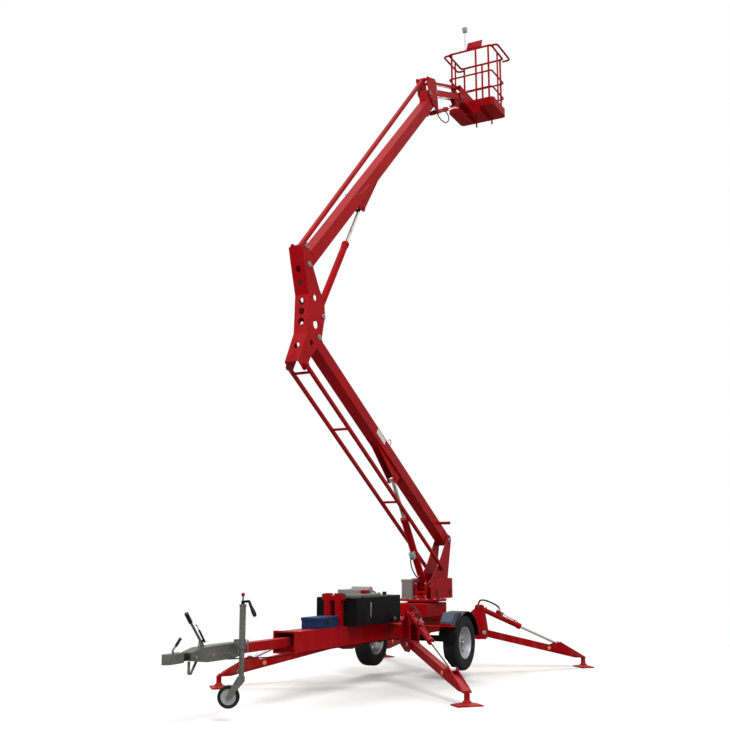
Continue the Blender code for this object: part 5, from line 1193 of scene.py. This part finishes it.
class BuildPower(Step, bpy.types.Operator):
    """Fit out the tank, pump unit, battery box and boom rest"""

    bl_idname = "boomlift.power"
    bl_label = "Power unit"

    # Slabs: two stations, two sides, two heights, bevel
    casing = (
        (1.30, 1.80, -0.17, 0.17, 1.0203, 1.048, 0.004),
        (1.50, 1.53, -0.13, 0.13, 1.046, 1.094, 0.004),
        (1.74, 1.77, -0.13, 0.13, 1.046, 1.094, 0.004),
    )
    core = (1.54, 1.74, -0.09, 0.09, 1.046, 1.078, 0.004)
    manifold = (
        (1.315, 1.375, -0.10, 0.03, 1.046, 1.090, 0.004),
        (1.56, 1.70, 0.125, 0.165, 1.046, 1.088, 0.006),
    )
    lid = (2.155, 2.585, -0.105, 0.105, 0.800, 0.834, 0.005)
    # Motor: station and height, then two sides and a radius for each step
    motor = (1.44, 1.073)
    motor_steps = ((-0.12, 0.115, 0.047), (0.112, 0.12, 0.030))
    fins, first_fin, fin_pitch, fin_thick = 7, 1.545, 0.0285, 0.007
    # Pipes: side and the station they reach
    pipes = ((-0.07, 1.22), (-0.03, 1.18), (0.01, 1.14))
    filler = (1.08, 0.1, 1.0345)
    drain = (1.12, 0.2497, 0.76)
    straps = (1.235, 1.86)
    lid_ribs = (2.20, 2.30, 2.43, 2.53)

    def execute(self, context):
        grey = [slab(*row) for row in self.casing]
        station, z = self.motor
        for start, end, radius in self.motor_steps:
            grey.append(cylinder(place(station, start, z), place(station, end, z), radius, 40, 0.003))
        for index in range(self.fins):
            x = self.first_fin + index * self.fin_pitch
            grey.append(slab(x, x + self.fin_thick, -0.12, 0.12, 1.046, 1.092, 0.001))
        grey.append(slab(*self.core))
        piece("pump_casing", grey, "grey_paint", "chassis", ["engine_block"])
        piece("pump_manifold", [slab(*row) for row in self.manifold], "red_paint", "chassis")
        hoses = []
        for y, reach in self.pipes:
            spots = ((1.318, 1.070), (1.27, 1.072), (reach, 1.05), (reach - 0.03, 1.012))
            hoses.append(pipe(filleted([place(x, y, z) for x, z in spots], 0.03, 5), 0.0085, 12))
        cap = ribbed_sleeve(0.018, 0.0235, 0.0265, 2, 36)
        hoses.append(placed(cap, Matrix.Translation(place(*self.filler))))
        piece("pump_pipes", hoses, "hose_rubber", "chassis")
        steel = [hex_bolt(place(1.34, y, 1.090), (0, 0, 1), 0.018) for y in (-0.07, -0.03, 0.005)]
        steel += [hex_bolt(place(x, y, 1.048), (0, 0, 1), 0.016) for x in (1.32, 1.78) for y in (-0.15, 0.15)]
        steel.append(hex_bolt(place(*self.drain), (0, 1, 0), 0.026))
        steel += [self.paired(side, 1.70, 1.716, 0.2497, 0.256, 0.80, 0.96, 0.0015) for side in (1, -1)]
        piece("deck_bolts", steel, "bolt_steel", "chassis")
        bands = [slab(x, x + 0.03, -0.2525, 0.2525, 0.724, 1.0225, 0.002) for x in self.straps]
        piece("tank_straps", bands, "black_paint", "chassis")
        ribs = [slab(x, x + 0.012, -0.1025, 0.1025, 0.7205, 0.81, 0.002) for x in self.lid_ribs]
        piece("battery_lid", [slab(*self.lid), *ribs], "blue_plastic", "chassis")
        rubber = []
        for row in (
            (2.052, 2.118, 0.128, 0.104, 1.040, 1.059, 0.003),
            (2.052, 2.118, 0.098, 0.032, 1.0597, 1.0645, 0.002),
            (2.34, 2.40, 0.105, 0.110, 0.765, 0.815, 0.003),
        ):
            rubber += [self.paired(side, *row) for side in (1, -1)]
        piece("rest_pads", rubber, "grip_rubber", "chassis")
        return {"FINISHED"}

    def paired(self, side, x0, x1, y0, y1, z0, z1, bevel):
        """One of two slabs that mirror each other across the trailer."""
        return slab(x0, x1, side * y0, side * y1, z0, z1, bevel)


class BuildTurntable(Step, bpy.types.Operator):
    """Fit the slewing ring's bolts, the cover's latches and the control box's ribs"""

    bl_idname = "boomlift.turntable"
    bl_label = "Turntable fittings"

    table_top = 0.93
    bolts, bolt_circle = 16, 0.272
    # Bolts of the pedestal's plate: station, then sides and heights
    plate_station = -0.1325
    plate_bolts = ((-0.065, 1.12), (0.065, 1.12), (-0.065, 0.955), (0.065, 0.955))
    # Slabs: two stations, two sides, two heights, bevel
    box_lid = (-0.249, -0.076, -0.249, -0.0985, 1.140, 1.1705, 0.003)
    box_hinge = (-0.1985, -0.1265, -0.1035, -0.0985, 0.98, 1.10, 0.002)
    ribs, first_rib, rib_pitch = 5, -0.228, 0.027
    latches = (-0.62, -0.22)

    def execute(self, context):
        centre = pivot("turntable")
        steel = []
        for index in range(self.bolts):
            angle = 2 * math.pi * (index + 0.5) / self.bolts
            x, y = self.bolt_circle * math.cos(angle), self.bolt_circle * math.sin(angle)
            steel.append(hex_bolt((centre.x + x, y, self.table_top), (0, 0, 1), 0.022))
        steel += [hex_bolt(place(self.plate_station, y, z), (1, 0, 0), 0.015) for y, z in self.plate_bolts]
        piece("turntable_bolts", steel, "bolt_steel", "turntable")
        ribs = []
        for index in range(self.ribs):
            y = self.first_rib + index * self.rib_pitch
            ribs.append(slab(-0.0805, -0.0725, y, y + 0.012, 0.955, 1.125, 0.002))
        piece("control_ribs", [*ribs, slab(*self.box_lid)], "grey_paint", "turntable")
        rubber = []
        for x in self.latches:
            for side in (1, -1):
                rubber.append(slab(x - 0.018, x + 0.018, side * 0.1895, side * 0.1985, 0.975, 1.045, 0.003))
        piece("cover_latches", [*rubber, slab(*self.box_hinge)], "grip_rubber", "turntable")
        return {"FINISHED"}


class BuildTrim(Step, bpy.types.Operator):
    """Fit the blank plate, hooks, weld beads, lamp lens and valve ends"""

    bl_idname = "boomlift.trim"
    bl_label = "Trim"

    # Along the boom from its pin, to the side, and across it
    plate = ((2.16, 2.40), (0.0702, 0.0716), (-0.035, 0.035))
    hook = (
        (2.02, 0.06, 0.068), (2.02, 0.06, 0.105), (2.05, 0.06, 0.122), (2.08, 0.06, 0.105),
        (2.08, 0.06, 0.09),
    )
    band_at = 0.16
    # Boom, body at its far end, half width and half height of its band, line of its gusset's weld
    welds = (
        (
            "upper_boom", "tip_head", 0.0705, 0.0755,
            ((1.58, -0.05), (1.62, 0.0), (1.70, 0.03), (1.84, 0.045), (1.97, 0.06)),
        ),
        (
            "lower_boom", "elbow", 0.0705, 0.0705,
            ((1.52, -0.055), (1.56, -0.02), (1.70, 0.01), (1.84, -0.01), (1.93, -0.05)),
        ),
    )
    weld_face = 0.0708
    lamp = (-2.2108, -0.075)
    fins = (9.79, 9.805, 9.82, 9.835)
    # In the lift cylinder's frame
    valve_ends = (0.485, 0.545)
    gland_pipe = (
        (0.545, 0.0, -0.075), (0.60, 0.0, -0.075), (0.66, 0.0, -0.058), (0.93, 0.0, -0.058),
        (0.975, 0.0, -0.04),
    )

    def execute(self, context):
        lower = self.boom("lower_boom", "elbow")
        x, y, z = self.plate
        sides = [cuboid(x, sorted((side * y[0], side * y[1])), z, 0.0006, 1) for side in (1, -1)]
        piece("boom_plates", sides, "blank_label", "lower_boom", at=lower)
        piece("boom_hook", pipe(flowing(self.hook, 4), 0.005, 12), "red_paint", "lower_boom", at=lower)
        for body, child, half, height, _ in reversed(self.welds):
            around = ((half, height), (-half, height), (-half, -height), (half, -height))
            ring = filleted([(self.band_at, y, z) for y, z in around], 0.008, 4, True)
            band = pipe(ring, 0.0035, 8, True)
            piece(body + "_weld", band, "red_paint", body, at=self.boom(body, child))
        # The gusset beads take the paler red, a painted highlight along each bead
        for body, child, _, _, line in self.welds:
            beads = []
            for face in (self.weld_face, -self.weld_face):
                beads.append(pipe(flowing([(x, face, z) for x, z in line], 4), 0.0035, 8))
            piece(body + "_gusset_weld", beads, "weld_bead", body, at=self.boom(body, child))
        self.lamp_front()
        valve = barrel_frame("lift_ram")
        ends = []
        for x in self.valve_ends:
            ends += [hex_bolt((x, side * 0.03, -0.065), (0, side, 0), 0.018) for side in (1, -1)]
        ends.append(hex_bolt((0.56, 0.0, -0.07), (1, 0, 0), 0.022))
        piece("lift_valve_ends", ends, "bolt_steel", "lift_ram_barrel", at=valve)
        line = pipe(filleted(self.gland_pipe, 0.03, 5), 0.005, 12)
        piece("lift_gland_pipe", line, "red_paint", "lift_ram_barrel", at=valve)
        return {"FINISHED"}

    def boom(self, body, child):
        """X along a boom from its pin to the next."""
        return axes(pivot(body), pivot(child) - pivot(body), (0, 1, 0))

    def lamp_front(self):
        x, y = self.lamp
        glass = slab(x - 0.0312, x - 0.0285, y - 0.028, y + 0.028, 9.790, 9.850, 0.001, 1)
        piece("lamp_glass", glass, "clear_lens", "platform")
        fins = [slab(x + 0.029, x + 0.036, y - 0.03, y + 0.03, z, z + 0.004, 0.001, 1) for z in self.fins]
        piece("lamp_fins", fins, "grey_paint", "platform")


class LiftPanel(bpy.types.Panel):
    """Lists the settings and the steps of the dressing"""

    bl_idname = "VIEW3D_PT_boom_lift"
    bl_label = "Boom lift"
    bl_space_type = "VIEW_3D"
    bl_region_type = "UI"
    bl_category = "Boom lift"

    def draw(self, context):
        for name, group in GROUPS:
            settings = getattr(context.scene, name)
            for key in group.__annotations__:
                self.layout.prop(settings, key)
        for step in STEPS:
            self.layout.operator(step.bl_idname)


STEPS = (
    PlaceCamera, MixFinishes, LayHoses, BuildStage, PaintSolids, BuildWheels, BuildRams, BuildBasket,
    BuildPins, BuildLegs, BuildTowing, BuildPower, BuildTurntable, BuildTrim,
)


def register():
    for name, group in GROUPS:
        bpy.utils.register_class(group)
        setattr(bpy.types.Scene, name, bpy.props.PointerProperty(type=group))
    for step in STEPS:
        bpy.utils.register_class(step)
    bpy.utils.register_class(LiftPanel)


def unregister():
    bpy.utils.unregister_class(LiftPanel)
    for step in reversed(STEPS):
        bpy.utils.unregister_class(step)
    for name, group in reversed(GROUPS):
        delattr(bpy.types.Scene, name)
        bpy.utils.unregister_class(group)


def main():
    register()
    for step in STEPS:
        area, label = step.bl_idname.split(".")
        getattr(getattr(bpy.ops, area), label)()


if __name__ == "__main__":
    main()
